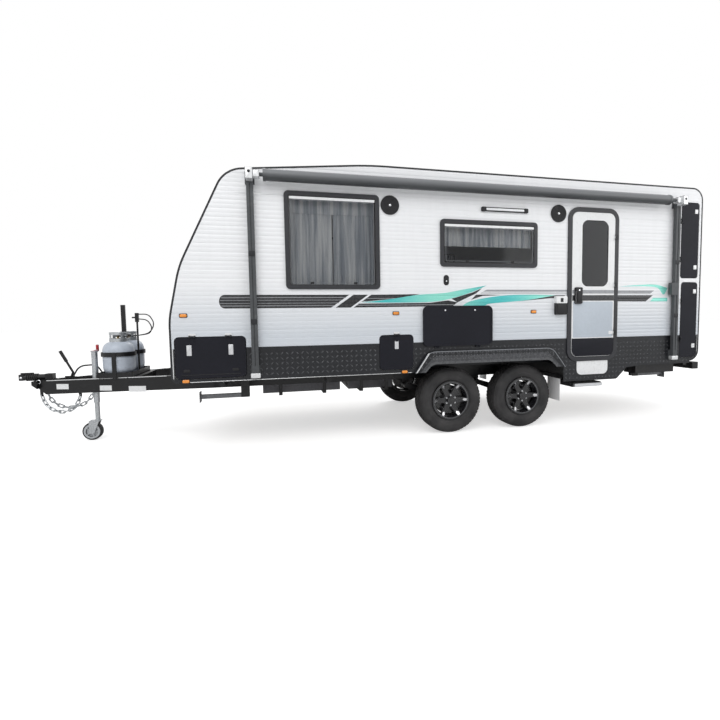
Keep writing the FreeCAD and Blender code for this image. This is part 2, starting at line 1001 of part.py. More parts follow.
def awning_arms():
    arms = []
    inward = (1, -1)
    ends = roll_x
    front = awning_arm_out + awning_arm_depth
    for x, direction, end in zip(awning_arm_x, inward, ends):
        channel = box(
            x - awning_arm_width / 2, x + awning_arm_width / 2,
            near(front), near(awning_arm_out),
            awning_arm_low_z, awning_arm_top_z,
        )
        groove = box(
            x - awning_slot / 2, x + awning_slot / 2,
            near(front + cut_over), near(front - awning_slot),
            awning_arm_low_z + awning_foot_height, awning_arm_top_z - awning_foot_height,
        )
        foot = box(
            x - awning_foot_half, x + awning_foot_half, near(awning_arm_out), near(skirt_skin),
            awning_arm_low_z, awning_arm_low_z + awning_foot_height,
        )
        top = box(
            x - awning_foot_half, x + awning_foot_half, near(awning_arm_out), near(0),
            awning_arm_top_z - awning_foot_height, awning_arm_top_z,
        )
        bracket = box(
            x - awning_arm_width / 2, x + awning_arm_width / 2,
            near(roll_out + roll_r), near(awning_arm_out),
            roll_z - roll_r, awning_arm_top_z,
        )
        x0, x1 = sorted((x, x + direction * (awning_arm_width / 2 + awning_casting_run)))
        casting = box(
            x0, x1, near(roll_out + awning_casting / 2), near(roll_out - awning_casting / 2),
            roll_z - awning_casting / 2, roll_z + awning_casting / 2,
        )
        start = V(x, near(roll_out), roll_z)
        spindle = rod(start, V(end - direction * seat_gap, near(roll_out), roll_z), awning_spindle_r)
        arms.append(fuse([channel.cut(groove), foot, top, bracket, casting, spindle]))
    x0 = awning_arm_x[-1] - holder_lead
    x1 = x0 + holder_width
    z0, z1 = holder_z
    holder = box(x0, x1, near(front + holder_proud), near(awning_arm_out), z0, z1)
    arms[-1] = fuse([arms[-1], holder])
    return group(arms)


# Fittings

def side_fittings():
    shapes = []
    for x in speaker_x:
        shapes.append(rod(V(x, near(0), speaker_z), V(x, near(speaker_proud), speaker_z), speaker_r))
    shapes.append(wall_slab(outlet, outlet_r, 0, outlet_proud))
    shapes.append(wall_slab(lamp_bar, 0, 0, lamp_bar_proud))
    grille = wall_slab(vent, vent_r, 0, vent_proud)
    x0, x1, z0, z1 = vent
    pitch = (z1 - z0) / (vent_slats + 1)
    slots = []
    for i in range(vent_slats):
        z = z0 + pitch * (i + 1)
        slots.append(box(
            x0 + pitch, x1 - pitch, near(vent_proud + cut_over), near(vent_proud / 2),
            z - pitch / 4, z + pitch / 4,
        ))
    shapes.append(mirrored(grille.cut(slots)))
    return group(shapes)


def marker_lamps():
    shapes = []
    width, height = marker_size
    for places, z, base in ((marker_x, marker_z, 0), (marker_low_x, marker_low_z, skirt_skin)):
        for x in places:
            span = (x - width / 2, x + width / 2, z - height / 2, z + height / 2)
            shapes.append(wall_slab(span, height / 3, base, base + marker_proud))
    return both_sides(group(shapes))


def tail_lamps():
    z0, z1 = tail_lamp_z
    lamp = box(
        body_length + skirt_skin, body_length + skirt_skin + tail_lamp_proud,
        -tail_lamp_y - tail_lamp_width / 2, -tail_lamp_y + tail_lamp_width / 2,
        z0 - tail_lamp_width, z0,
    )
    return both_sides(lamp)


# Chassis

def chassis_rails():
    rail = box(
        rail_start_x, rail_end_x, rail_y - rail_width / 2, rail_y + rail_width / 2,
        rail_bottom_z, rail_top_z,
    )
    return both_sides(rail)


def cross_members():
    shapes = []
    run = rail_end_x - rail_start_x - cross_width
    inner = rail_y - rail_width / 2
    outer = rail_y + rail_width / 2
    for share in cross_share:
        x = rail_start_x + run * share
        shapes.append(box(x, x + cross_width, -inner, inner, rail_top_z - cross_depth, rail_top_z))
    for share in outrigger_share:
        x = rail_start_x + run * share
        wing = box(
            x, x + cross_width, outer, half_width - outrigger_tip,
            rail_top_z - cross_depth, rail_top_z,
        )
        shapes += [wing, mirrored(wing)]
    return group(shapes)


def drawbar_level(x):
    """How far the drawbar's rails lie below the chassis rails at x."""
    return drawbar_drop * (rail_start_x - x) / (rail_start_x - drawbar_tip_x)


def drawbar_spread(x):
    """Distance of a drawbar rail's centre from the mid-plane at x."""
    share = (x - drawbar_tip_x) / (rail_start_x - drawbar_tip_x)
    return drawbar_tip_y + (rail_y - drawbar_tip_y) * share


def nose_block(y0, y1):
    """What is cut away below the drawbar's slanting nose."""
    x = drawbar_tip_x - head_length
    low = rail_bottom_z - drawbar_level(x)
    slope = nose_cut_rise / nose_cut_run
    return slab(
        [
            (x - cut_over, low - cut_over, 0),
            (x + nose_cut_run + cut_over / slope, low - cut_over, 0),
            (x - cut_over, low + nose_cut_rise + cut_over * slope, 0),
        ],
        y0, y1,
    )


def drawbar_arm():
    over = cut_over * 2
    ends = []
    for x in (drawbar_tip_x - over, rail_start_x + over):
        y = drawbar_spread(x)
        low = rail_bottom_z - drawbar_level(x)
        high = rail_top_z - drawbar_level(x)
        ends.append([
            V(x, y - rail_width / 2, low),
            V(x, y + rail_width / 2, low),
            V(x, y + rail_width / 2, high),
            V(x, y - rail_width / 2, high),
        ])
    front, rear = ends
    faces = [front, rear]
    for i in range(len(front)):
        faces.append([front[i - 1], front[i], rear[i], rear[i - 1]])
    beam = Part.Solid(Part.Shell([Part.Face(Part.makePolygon(f + f[:1])) for f in faces]))
    keep = box(drawbar_tip_x, rail_start_x, 0, half_width, 0, rail_top_z + cut_over)
    return beam.common(keep).cut(nose_block(0, half_width))


def drawbar_arms():
    arm = fuse([mirrored(drawbar_arm())] + [hung_chain(lug) for lug in chain_lugs()])
    return both_sides(arm)


def drawbar_brace():
    x = drawbar_brace_x
    level = drawbar_level(x)
    inner = drawbar_spread(x) - rail_width / 2 - seat_gap
    return box(
        x, x + drawbar_brace_width, -inner, inner,
        rail_top_z - level - cross_depth, rail_top_z - level - seat_gap,
    )


def coupling():
    x = drawbar_tip_x
    low = rail_bottom_z - drawbar_level(x)
    high = rail_top_z - drawbar_level(x)
    head = box(x - head_length, x, -head_half, head_half, low, high).cut(nose_block(-half_width, half_width))
    tip = x - coupling_reach
    ball_x = tip + socket_r + coupling_wall
    mid = high + coupling_rise
    tail_x = x + coupling_tail_run
    plate = box(x - head_length, tail_x, -head_half / 2, head_half / 2, high, high + coupling_plate)
    neck = rod(V(ball_x, 0, mid), V(tail_x, 0, mid), coupling_neck_r)
    cup = rod(
        V(ball_x, 0, mid - socket_depth), V(ball_x, 0, mid + socket_r + coupling_wall),
        socket_r + coupling_wall,
    )
    block = box(
        tail_x - coupling_tail_half * 2, tail_x, -coupling_tail_half, coupling_tail_half,
        high, mid + coupling_neck_r + coupling_block_lip,
    )
    rings = []
    for i in range(coupling_ring_count):
        ring_x = ball_x + socket_r + coupling_ring_width * 2 + coupling_ring_pitch * i
        rings.append(rod(V(ring_x, 0, mid), V(ring_x + coupling_ring_width, 0, mid), coupling_ring_r))
    dome = Part.makeSphere(socket_r, V(ball_x, 0, mid))
    bore = rod(V(ball_x, 0, mid - socket_depth - cut_over), V(ball_x, 0, mid), socket_r)
    lever = box(
        ball_x - socket_r / 2, ball_x + coupling_reach / 2, -coupling_wall, coupling_wall,
        mid + socket_r + coupling_wall, mid + socket_r + coupling_wall * 3,
    )
    arms = [drawbar_arm(), mirrored(drawbar_arm())]
    return fuse([head, plate, neck, cup, block, lever] + rings).cut([dome, bore] + arms)


def handbrake_lever():
    base_z = rail_top_z - drawbar_level(lever_x)
    base = box(
        lever_x - lever_box / 2, lever_x + lever_box / 2, lever_y - lever_thick, drawbar_spread(lever_x),
        base_z - lever_box, base_z - lever_thick,
    )
    web = box(
        lever_x - lever_box / 2, lever_x + lever_box / 2, lever_y - lever_thick, lever_y + lever_thick,
        base_z - lever_box, base_z + lever_box / 4,
    )
    foot, elbow, tip = [V(x, lever_y, z) for x, z in (lever_foot, lever_elbow, lever_tip)]
    grip_start = elbow + (tip - elbow) * lever_grip_share
    pieces = [
        base.cut(drawbar_arm()), web, rod(foot, elbow, lever_thick), Part.makeSphere(lever_thick, elbow),
        rod(elbow, tip, lever_thick), rod(grip_start, tip, lever_grip_r),
    ]
    return fuse(pieces)


def chain_link():
    """One link in the xz plane, its length along x, of eight-sided bar bent in eight places."""
    def outline(grow, half_y):
        r = link_end_r + grow
        reach = link_straight / 2
        cut = r * (2 - math.sqrt(2))
        corners = [
            (-reach - r, -r + cut, 0), (-reach - r + cut, -r, 0), (reach + r - cut, -r, 0),
            (reach + r, -r + cut, 0), (reach + r, r - cut, 0), (reach + r - cut, r, 0),
            (-reach - r + cut, r, 0), (-reach - r, r - cut, 0),
        ]
        wire = wire_of(corners)
        wire.translate(V(0, half_y, 0))
        return wire
    w = link_wire_r
    flat = w * math.tan(math.pi / 8)
    shells = []
    for way in (1, -1):
        places = ((flat, -w), (w, -flat), (w, flat), (flat, w))
        rings = [outline(way * grow, half_y) for grow, half_y in places]
        shells.append(Part.makeLoft(rings, True, True))
    return shells[0].cut(shells[1])


def chain_steps():
    """Where each link's middle lies and how steeply it runs, along an arc in the xz plane."""
    pitch = link_straight + link_end_r * 2 - link_wire_r * 2 - link_play
    half_turn = math.radians(chain_half_turn)
    steps = []
    point = V(0, 0, 0)
    for i in range(chain_links):
        share = (i + 1 / 2) / chain_links
        slope = -half_turn + 2 * half_turn * share
        step = V(math.cos(slope), 0, math.sin(slope)) * pitch
        steps.append((point + step / 2, slope))
        point = point + step
    return steps


def safety_chain():
    links = []
    for i, (centre, slope) in enumerate(chain_steps()):
        link = chain_link()
        if i % 2 == 0:
            link.rotate(V(0, 0, 0), V(1, 0, 0), 90)
        link.rotate(V(0, 0, 0), V(0, 1, 0), -math.degrees(slope))
        link.translate(centre)
        links.append(link)
    return group(links)


def chain_lugs():
    """The plates under a drawbar rail that the chain's end links pass through."""
    steps = chain_steps()
    hole_r = link_wire_r / math.cos(math.pi / 8) + link_play / 2
    lugs = []
    for (centre, slope), way in ((steps[0], -1), (steps[-1], 1)):
        reach = link_straight / 2 + link_end_r
        hole = centre + V(math.cos(slope), 0, math.sin(slope)) * reach * way
        plate = slab(
            [
                (hole.x - lug_half, hole.z - hole_r - lug_rim, lug_half / 2),
                (hole.x + lug_half, hole.z - hole_r - lug_rim, lug_half / 2),
                (hole.x + lug_half, hole.z + lug_rise, 0),
                (hole.x - lug_half, hole.z + lug_rise, 0),
            ],
            -lug_thick / 2, lug_thick / 2,
        )
        bore = rod(V(hole.x, -lug_thick, hole.z), V(hole.x, lug_thick, hole.z), hole_r)
        lugs.append(plate.cut(bore))
    return lugs


def hung_chain(shape):
    """Turns a shape of the chain's own frame along the door side's drawbar rail and puts it below."""
    placed = shape.copy()
    slant = math.degrees(math.atan2(rail_y - drawbar_tip_y, rail_start_x - drawbar_tip_x))
    placed.rotate(V(0, 0, 0), V(0, 0, 1), -slant)
    top = rail_bottom_z - drawbar_level(chain_x) - link_end_r
    placed.translate(V(chain_x, -drawbar_spread(chain_x), top))
    return placed


def safety_chains():
    return both_sides(hung_chain(safety_chain()))


def jockey_y():
    return -(drawbar_spread(jockey_x) - rail_width / 2 - jockey_clear)


def jockey_tube():
    y = jockey_y()
    tube = rod(V(jockey_x, y, jockey_tube_low_z), V(jockey_x, y, jockey_top_z), jockey_outer_r)
    mid = (rail_bottom_z + rail_top_z) / 2 - drawbar_level(jockey_x)
    clamp = rod(
        V(jockey_x, y, mid - clamp_height / 2), V(jockey_x, y, mid + clamp_height / 2),
        jockey_outer_r + clamp_wall,
    )
    bracket = box(
        jockey_x - clamp_height / 2, jockey_x + clamp_height / 2,
        -drawbar_spread(jockey_x), y - jockey_outer_r - clamp_wall / 2,
        mid - clamp_height / 2, mid + clamp_height / 2,
    )
    bracket = bracket.cut(mirrored(drawbar_arm()))
    cap = rod(
        V(jockey_x, y, jockey_top_z), V(jockey_x, y, jockey_top_z + clamp_wall),
        jockey_outer_r + clamp_wall / 2,
    )
    high = jockey_top_z + clamp_wall + crank_r / 2
    arm_end = V(jockey_x, y + crank_arm, high)
    crank = rod(V(jockey_x, y, high), arm_end, crank_r)
    knob = rod(arm_end - V(0, 0, crank_knob_r), arm_end + V(0, 0, crank_knob_length), crank_knob_r)
    bore = rod(
        V(jockey_x, y, jockey_tube_low_z - cut_over), V(jockey_x, y, jockey_top_z - clamp_wall),
        jockey_inner_r + jockey_play,
    )
    return fuse([tube, clamp, bracket, cap, crank, knob]).cut(bore)


def jockey_leg():
    y = jockey_y()
    leg = rod(V(jockey_x, y, jockey_leg_low_z), V(jockey_x, y, jockey_leg_top_z), jockey_inner_r)
    pin = rod(
        V(jockey_x, y, jockey_wheel_r * 2 + fork_plate * 3), V(jockey_x, y, jockey_leg_low_z),
        jockey_axle_r,
    )
    return fuse([leg, pin])


def jockey_fork():
    y = jockey_y()
    top = jockey_wheel_r * 2 + fork_plate * 2
    half = jockey_wheel_width / 2 + door_gap + fork_plate
    axle_x_place = jockey_x - jockey_trail
    plate = box(
        axle_x_place - jockey_inner_r, jockey_x + jockey_inner_r + fork_plate,
        y - half, y + half, top, top + fork_plate,
    )
    boss = rod(V(jockey_x, y, top), V(jockey_x, y, jockey_leg_low_z - seat_gap), jockey_inner_r)
    pieces = [plate, boss]
    for side in (-1, 1):
        y0, y1 = sorted((y + side * half, y + side * (half - fork_plate)))
        cheek = slab(
            [
                (axle_x_place - jockey_inner_r, jockey_wheel_r - jockey_inner_r, jockey_inner_r / 2),
                (axle_x_place + jockey_inner_r, jockey_wheel_r - jockey_inner_r, jockey_inner_r / 2),
                (jockey_x + jockey_inner_r, top + fork_plate, 0),
                (axle_x_place - jockey_inner_r, top + fork_plate, 0),
            ],
            y0, y1,
        )
        pieces.append(cheek)
    pieces.append(rod(
        V(axle_x_place, y - half, jockey_wheel_r), V(axle_x_place, y + half, jockey_wheel_r),
        jockey_axle_r,
    ))
    hole = rod(V(jockey_x, y, top - cut_over), V(jockey_x, y, jockey_leg_low_z), jockey_axle_r + pin_play)
    return fuse(pieces).cut(hole)


def jockey_wheel():
    y = jockey_y()
    x = jockey_x - jockey_trail
    half = jockey_wheel_width / 2
    r = jockey_wheel_r
    shoulder = half / 2
    step_r = r * jockey_shoulder_share
    profile = [
        (jockey_axle_r + stub_play, half + door_gap - seat_gap, 0),
        (jockey_axle_r + stub_play, -half - door_gap + seat_gap, 0),
        (jockey_inner_r, -half - door_gap + seat_gap, 0),
        (jockey_inner_r, -half / 2, 0),
        (step_r, -half / 2, 0),
        (step_r, -half, 0),
        (r, -half, shoulder),
        (r, half, shoulder),
        (step_r, half, 0),
        (step_r, half / 2, 0),
        (jockey_inner_r, half / 2, 0),
        (jockey_inner_r, half + door_gap - seat_gap, 0),
    ]
    wheel = Part.Face(wire_of(profile)).revolve(V(0, 0, 0), V(0, 0, 1), 360)
    wheel.rotate(V(0, 0, 0), V(1, 0, 0), 90)
    wheel.translate(V(x, y, r))
    return wheel


# Gas bottles

def gas_bottle(y):
    r = bottle_r
    z0 = bottle_base_z
    corners = [
        (0, z0 + bottle_foot, 0),
        (r - bottle_dome / 2, z0 + bottle_foot, bottle_foot / 2),
        (r, z0 + bottle_dome, r / 4),
        (r, bottle_top_z - bottle_dome, r / 2),
        (collar_r, bottle_top_z, r / 4),
        (valve_r, bottle_top_z + collar_wall, 0),
        (valve_r, bottle_top_z + valve_height, 0),
        (0, bottle_top_z + valve_height, 0),
    ]
    body = Part.Face(wire_of(corners)).revolve(V(0, 0, 0), V(0, 0, 1), 360)
    foot_r = r - bottle_dome / 3
    foot = Part.makeCylinder(foot_r, bottle_foot * 2, V(0, 0, z0))
    foot = foot.cut(Part.makeCylinder(foot_r - collar_wall, bottle_foot * 3, V(0, 0, z0 - bottle_foot)))
    collar = Part.makeCylinder(collar_r, collar_height, V(0, 0, bottle_top_z - collar_wall * 2))
    collar = collar.cut(Part.makeCylinder(
        collar_r - collar_wall, collar_height * 2, V(0, 0, bottle_top_z - collar_height)
    ))
    window = box(
        -r, r, -collar_r / 2, collar_r / 2,
        bottle_top_z + collar_height / 3, bottle_top_z + collar_height * 2 / 3,
    )
    bottle = fuse([body, foot, collar.cut(window)])
    bottle.translate(V(bottle_x, y, 0))
    return bottle


def gas_bottles():
    return group([gas_bottle(-bottle_y), gas_bottle(bottle_y)])


def gas_rack():
    reach = bottle_r + tray_margin
    x0 = bottle_x - reach
    x1 = bottle_x + reach
    half = bottle_y + reach
    z = bottle_base_z - seat_gap
    under = rail_top_z - drawbar_level(x0)
    floor_z = z - tray_plate
    plate = box(x0, x1, -half, half, floor_z, z)
    rim = box(
        x0 - tray_rim_wall, x1 + tray_rim_wall, -half - tray_rim_wall, half + tray_rim_wall,
        floor_z, z + tray_rim,
    )
    rim = rim.cut(box(x0, x1, -half, half, floor_z - cut_over, z + tray_rim + cut_over))
    post = box(
        post_x - post_width / 2, post_x + post_width / 2, -post_thick / 2, post_thick / 2,
        floor_z, post_top_z,
    )
    stand_low, stand_high = stand_z
    stand = rod(V(stand_x, 0, floor_z), V(stand_x, 0, stand_high), stand_r)
    regulator = box(
        stand_x - stand_width / 2, stand_x + stand_width / 2, -stand_thick / 2, stand_thick / 2,
        stand_low, stand_high,
    )
    knob_z = (stand_low + stand_high) / 2
    knob_x = stand_x - stand_width / 2 - stand_knob_length
    knob = rod(V(stand_x, 0, knob_z), V(knob_x, 0, knob_z), stand_knob_r)
    rings = []
    band_low, band_high = bottle_band_z
    strap_y = bottle_y + bottle_r + bottle_band
    for side in (-1, 1):
        at = V(bottle_x, side * bottle_y, band_low)
        ring = Part.makeCylinder(bottle_r + bottle_band, band_high - band_low, at)
        rings.append(ring.cut(rod(
            at - V(0, 0, cut_over), at + V(0, 0, band_high - band_low + cut_over), bottle_r + seat_gap,
        )))
        y0, y1 = sorted((side * (strap_y - strap_thick / 2), side * (strap_y + strap_thick / 2)))
        strap = box(
            bottle_x - strap_width / 2, bottle_x + strap_width / 2, y0, y1,
            floor_z - strap_drop, band_high,
        )
        rings.append(strap)
    shoes = []
    for x in (x0, x1 - shoe_length):
        y = drawbar_spread(x + shoe_length / 2)
        low = under - tray_rim
        shoe = box(x, x + shoe_length, y - rail_width / 2, y + rail_width / 2, low, floor_z)
        bar = box(x, x + shoe_length, 0, y + rail_width / 2, floor_z - tray_plate, floor_z)
        shoe = fuse([shoe, bar]).cut(drawbar_arm())
        shoes += [shoe, mirrored(shoe)]
    bottles = Part.makeCylinder(bottle_r + seat_gap, bottle_top_z, V(bottle_x, bottle_y, z))
    shape = fuse([plate, rim, post, stand, regulator, knob] + rings + shoes)
    return shape.cut([bottles, mirrored(bottles)])


# Hoses and cables: straight runs joined by arcs

def cord(points, radius):
    places = [V(*point) for point in points]
    edges = []
    last = places[0]
    for before, here, after in zip(places, places[1:], places[2:]):
        back = before - here
        ahead = after - here
        shorter = min(back.Length, ahead.Length)
        back.normalize()
        ahead.normalize()
        half = math.acos(back.dot(ahead)) / 2
        run = shorter * hose_turn_share
        turn_r = run * math.tan(half)
        middle = (back + ahead).normalize()
        centre = here + middle * (turn_r / math.sin(half))
        start = here + back * run
        end = here + ahead * run
        edges.append(Part.LineSegment(last, start).toShape())
        edges.append(Part.Arc(start, centre - middle * turn_r, end).toShape())
        last = end
    edges.append(Part.LineSegment(last, places[-1]).toShape())
    spine = Part.Wire(edges)
    ring = Part.Wire([Part.makeCircle(radius, places[0], places[1] - places[0])])
    return spine.makePipeShell([ring], True, True)


def hose_outlet(z, route):
    """Where a hose leaves the regulator's rear face, its slanting end clear of the face."""
    face_x = stand_x + stand_width / 2
    run = V(*route[0]) - V(face_x, 0, z)
    slant = math.hypot(run.y, run.z) / run.Length
    return (face_x + seat_gap + hose_r * slant, 0, z)


def gas_hoses():
    valve_x = bottle_x + valve_r + seat_gap
    near_points = [hose_outlet(near_hose_z, near_hose)] + list(near_hose) + [(valve_x, -bottle_y, hose_low_z)]
    far_points = [hose_outlet(far_hose_z, far_hose)] + list(far_hose) + [(valve_x, bottle_y, hose_low_z)]
    x0, x1 = cable_x
    x_in, x_out = x0 + cable_lead, x1 - cable_lead
    foot = seat_gap * 2 + cable_r * cable_lead / math.hypot(cable_lead, cable_rise)
    arch = []
    for x, rise in ((x0, foot), (x_in, cable_rise), (x_out, cable_rise), (x1, foot)):
        arch.append((x, drawbar_spread(x), rail_top_z - drawbar_level(x) + rise))
    return group([cord(near_points, hose_r), cord(far_points, hose_r), cord(arch, cable_r)])


# Road wheels

def ring_solid(profile):
    """Revolves a (radius, depth) outline; depth runs inboard from the wheel's outer face."""
    shape = Part.Face(wire_of(profile)).revolve(V(0, 0, 0), V(0, 0, 1), 360)
    shape.rotate(V(0, 0, 0), V(1, 0, 0), -90)
    return shape


def wheel_tyre():
    """Tyre about the y axis, outer face at y = 0, reaching inboard to +y."""
    w = tyre_width
    bead = rim_flange * 2
    widest_r = rim_flange_r + (tyre_r - rim_flange_r) * tyre_widest_share
    shoulder_r = tyre_r - tyre_bulge
    profile = [
        (rim_r + seat_gap, bead, 0),
        (rim_flange_r + seat_gap, bead, 0),
        (rim_flange_r + seat_gap, tyre_bulge, 0),
        (widest_r, 0, 0),
        (shoulder_r, tyre_shoulder / 2, 0),
        (tyre_r, tyre_shoulder, 0),
        (tyre_r, w - tyre_shoulder, 0),
        (shoulder_r, w - tyre_shoulder / 2, 0),
        (widest_r, w, 0),
        (rim_flange_r + seat_gap, w - tyre_bulge, 0),
        (rim_flange_r + seat_gap, w - bead, 0),
        (rim_r + seat_gap, w - bead, 0),
    ]
    return ring_solid(profile)


def wheel_rim(with_drum):
    w = tyre_width
    barrel = ring_solid([
        (rim_flange_r, rim_flange * 2 - seat_gap, 0),
        (rim_flange_r, rim_flange, 0),
        (rim_r - rim_wall, rim_flange, 0),
        (rim_well_r, w / 3, 0),
        (rim_well_r, w / 2, 0),
        (rim_r - rim_wall, w * 2 / 3, 0),
        (rim_r - rim_wall, w - rim_flange, 0),
        (rim_flange_r, w - rim_flange, 0),
        (rim_flange_r, w - rim_flange * 2 + seat_gap, 0),
        (rim_r, w - rim_flange * 2 + seat_gap, 0),
        (rim_r, w * 2 / 3, 0),
        (rim_well_r + rim_wall, w / 2, 0),
        (rim_well_r + rim_wall, w / 3, 0),
        (rim_r, rim_flange * 2 - seat_gap, 0),
    ])
    face = spoke_face
    spokes = []
    for i in range(spoke_count):
        spoke = slab(
            [
                (-spoke_root / 2, 0, 0),
                (spoke_root / 2, 0, 0),
                (spoke_tip / 2, rim_r - rim_wall / 2, 0),
                (-spoke_tip / 2, rim_r - rim_wall / 2, 0),
            ],
            face, face + spoke_thick,
        )
        spoke.rotate(V(0, 0, 0), V(0, 1, 0), 360 * (i + 1 / 2) / spoke_count)
        spokes.append(spoke)
    hub_end = face + spoke_thick + hub_back
    hub = rod(V(0, face, 0), V(0, hub_end, 0), hub_r)
    cap = rod(V(0, face - hub_cap_height, 0), V(0, face, 0), hub_cap_r)
    pieces = [barrel, hub, cap] + spokes
    if with_drum:
        pieces.append(rod(V(0, hub_end - spoke_face / 2, 0), V(0, hub_end + drum_depth, 0), drum_r))
    bore = rod(V(0, face, 0), V(0, w * 2, 0), stub_r + stub_play)
    shape = fuse(pieces)
    if with_drum:
        shape = shape.cut(bore)
    return shape


def at_wheel(shape, x, side):
    placed = shape.copy()
    placed.translate(V(x, -tyre_outer_y, tyre_r))
    return placed if side < 0 else mirrored(placed)


# Suspension

def suspension_arm(x):
    hub_end = tyre_outer_y - spoke_face - spoke_thick - hub_back - drum_depth
    stub_tip = tyre_outer_y - spoke_face - spoke_thick
    pivot_x = x - arm_run
    corners = [
        (pivot_x, arm_pivot_z + arm_depth / 2, 0),
        (pivot_x, arm_pivot_z - arm_depth / 2, 0),
        (x - arm_depth / 2, tyre_r - arm_depth / 2, 0),
        (x + arm_depth / 2, tyre_r - arm_depth / 2, arm_depth / 4),
        (x + arm_depth / 2, tyre_r + arm_depth / 2, arm_depth / 4),
        (x - arm_depth / 2, tyre_r + arm_depth, 0),
    ]
    arm = slab(corners, -arm_y - arm_width / 2, -arm_y + arm_width / 2)
    stub = rod(V(x, -stub_tip, tyre_r), V(x, -arm_y, tyre_r), stub_r)
    shoulder = rod(V(x, -hub_end + seat_gap, tyre_r), V(x, -arm_y, tyre_r), arm_depth / 2)
    pivot = rod(
        V(pivot_x, -arm_y - arm_width / 2, arm_pivot_z), V(pivot_x, -rail_y + rail_width / 2, arm_pivot_z),
        pivot_r,
    )
    plates = []
    for y in (rail_y - rail_width / 2, rail_y + rail_width / 2 - pivot_bracket):
        plates.append(box(
            pivot_x - pivot_r, pivot_x + pivot_r, -y - pivot_bracket, -y,
            arm_pivot_z - pivot_r, rail_bottom_z,
        ))
    place_x = x - spring_lead
    seat_z = tyre_r + arm_depth
    seat = box(
        place_x - spring_r, place_x + spring_r, -arm_y + arm_width / 2, -rail_y + spring_r,
        seat_z - spring_cup, seat_z,
    )
    gusset = box(
        place_x - spring_cup, place_x + spring_cup, -arm_y + arm_width / 2, -rail_y,
        tyre_r, seat_z - spring_cup,
    )
    return fuse([arm, stub, shoulder, pivot, seat, gusset] + plates)


def axle_places():
    return (axle_x, axle_x + axle_spacing)


def suspension_arms():
    return both_sides(group([suspension_arm(x) for x in axle_places()]))


def coil_spring(x):
    low = tyre_r + arm_depth + seat_gap
    high = rail_bottom_z
    place_x = x - spring_lead
    y = -rail_y
    height = high - spring_cup - low
    pitch = (height - spring_wire_r * 2) / spring_turns
    helix = Part.makeHelix(pitch, pitch * spring_turns, spring_r - spring_wire_r)
    helix.translate(V(place_x, y, low + spring_wire_r))
    start = V(place_x + spring_r - spring_wire_r, y, low + spring_wire_r)
    ring = Part.Wire([Part.makeCircle(spring_wire_r, start, V(0, 1, 0))])
    coil = Part.Wire(helix.Edges).makePipeShell([ring], True, True)
    cup = rod(V(place_x, y, high - spring_cup), V(place_x, y, high), spring_r)
    return fuse([coil, cup])


def coil_springs():
    return both_sides(group([coil_spring(x) for x in axle_places()]))


# Step, flaps, steadies, tanks

def entry_step():
    x0, x1 = step_x
    tread = box(x0, x1, -step_y, -step_y + step_depth, step_z - step_thick, step_z)
    return tread


def step_housing():
    x0, x1 = step_x
    gap = door_gap
    y0 = -step_y + step_thick
    y1 = -rail_y - rail_width / 2
    outer = box(
        x0 - gap - step_case, x1 + gap + step_case, y0, y1,
        step_z - step_thick - gap - step_case, step_z + gap + step_case,
    )
    inner = box(
        x0 - gap, x1 + gap, y0 - cut_over, y1 - step_case,
        step_z - step_thick - gap, step_z + gap,
    )
    hanger = box(
        x0 - gap - step_case, x1 + gap + step_case, y1 - step_case, y1,
        step_z, rail_bottom_z + rail_depth / 2,
    )
    runners = []
    middle = step_z - step_thick / 2
    for wall, edge in ((x0 - gap, x0 - seat_gap), (x1 + gap, x1 + seat_gap)):
        low, high = sorted((wall, edge))
        runners.append(box(low, high, y0, y1 - step_case, middle - step_runner, middle + step_runner))
    return fuse([outer.cut(inner), hanger] + runners)


def flap_bars():
    thick, width, height = flap_size
    bar = box(
        flap_x, flap_x + flap_bar, -flap_y - width / 2, -rail_y - rail_width / 2,
        flap_top_z, flap_top_z + flap_bar_height,
    )
    return both_sides(bar)


def tank_straps():
    """Flat bars that pass under the tanks from rail to rail."""
    shapes = []
    wall = rail_y - rail_width / 2
    skin = tank_strap_skin
    low = rail_top_z - cross_depth - seat_gap * 2 - tank_depth
    for x0, x1 in tank_x:
        for share in tank_strap_share:
            x = x0 + (x1 - x0) * share
            outer = box(x, x + tank_strap, -wall, wall, low - skin, rail_bottom_z + skin * 2)
            inner = box(
                x - cut_over, x + tank_strap + cut_over, -wall + skin, wall - skin,
                low, rail_top_z,
            )
            shapes.append(outer.cut(inner))
    return group(shapes)


def mud_flap():
    thick, width, height = flap_size
    return box(
        flap_x, flap_x + thick, -flap_y - width / 2, -flap_y + width / 2,
        flap_top_z - height, flap_top_z,
    )


def mud_flaps():
    return both_sides(mud_flap())


def steady(x, direction):
    """A corner steady folded up, its foot end pointing forwards or rearwards."""
    y = -steady_y
    half = steady_width / 2
    z = steady_pivot_z
    end = x + direction * steady_length
    x0, x1 = sorted((x - direction * half, end))
    leg = box(x0, x1, y - half, y + half, z - steady_height / 2, z + steady_height / 2)
    foot_x0, foot_x1 = sorted((end, end + direction * steady_foot_plate))
    foot = box(
        foot_x0, foot_x1, y - steady_foot / 2, y + steady_foot / 2,
        z - steady_foot / 2, z + steady_foot / 2,
    )
    hole = rod(V(x, y - half - cut_over, z), V(x, y + half + cut_over, z), steady_pin_r + pin_play)
    return fuse([leg, foot]).cut(hole)


def steady_bracket(x, direction):
    y = -steady_y
    half = steady_width / 2 + door_gap
    z = steady_pivot_z
    pieces = [rod(V(x, y - half - steady_ear, z), V(x, y + half + steady_ear, z), steady_pin_r)]
    for side in (-1, 1):
        y0, y1 = sorted((y + side * half, y + side * (half + steady_ear)))
        pieces.append(box(
            x - steady_height, x + steady_height, y0, y1, z - steady_height / 2,
            rail_top_z - cross_depth,
        ))
    pieces.append(box(
        x - steady_height, x + steady_height, y - half - steady_ear, y + half + steady_ear,
        rail_top_z - cross_depth, rail_top_z,
    ))
    return fuse(pieces)


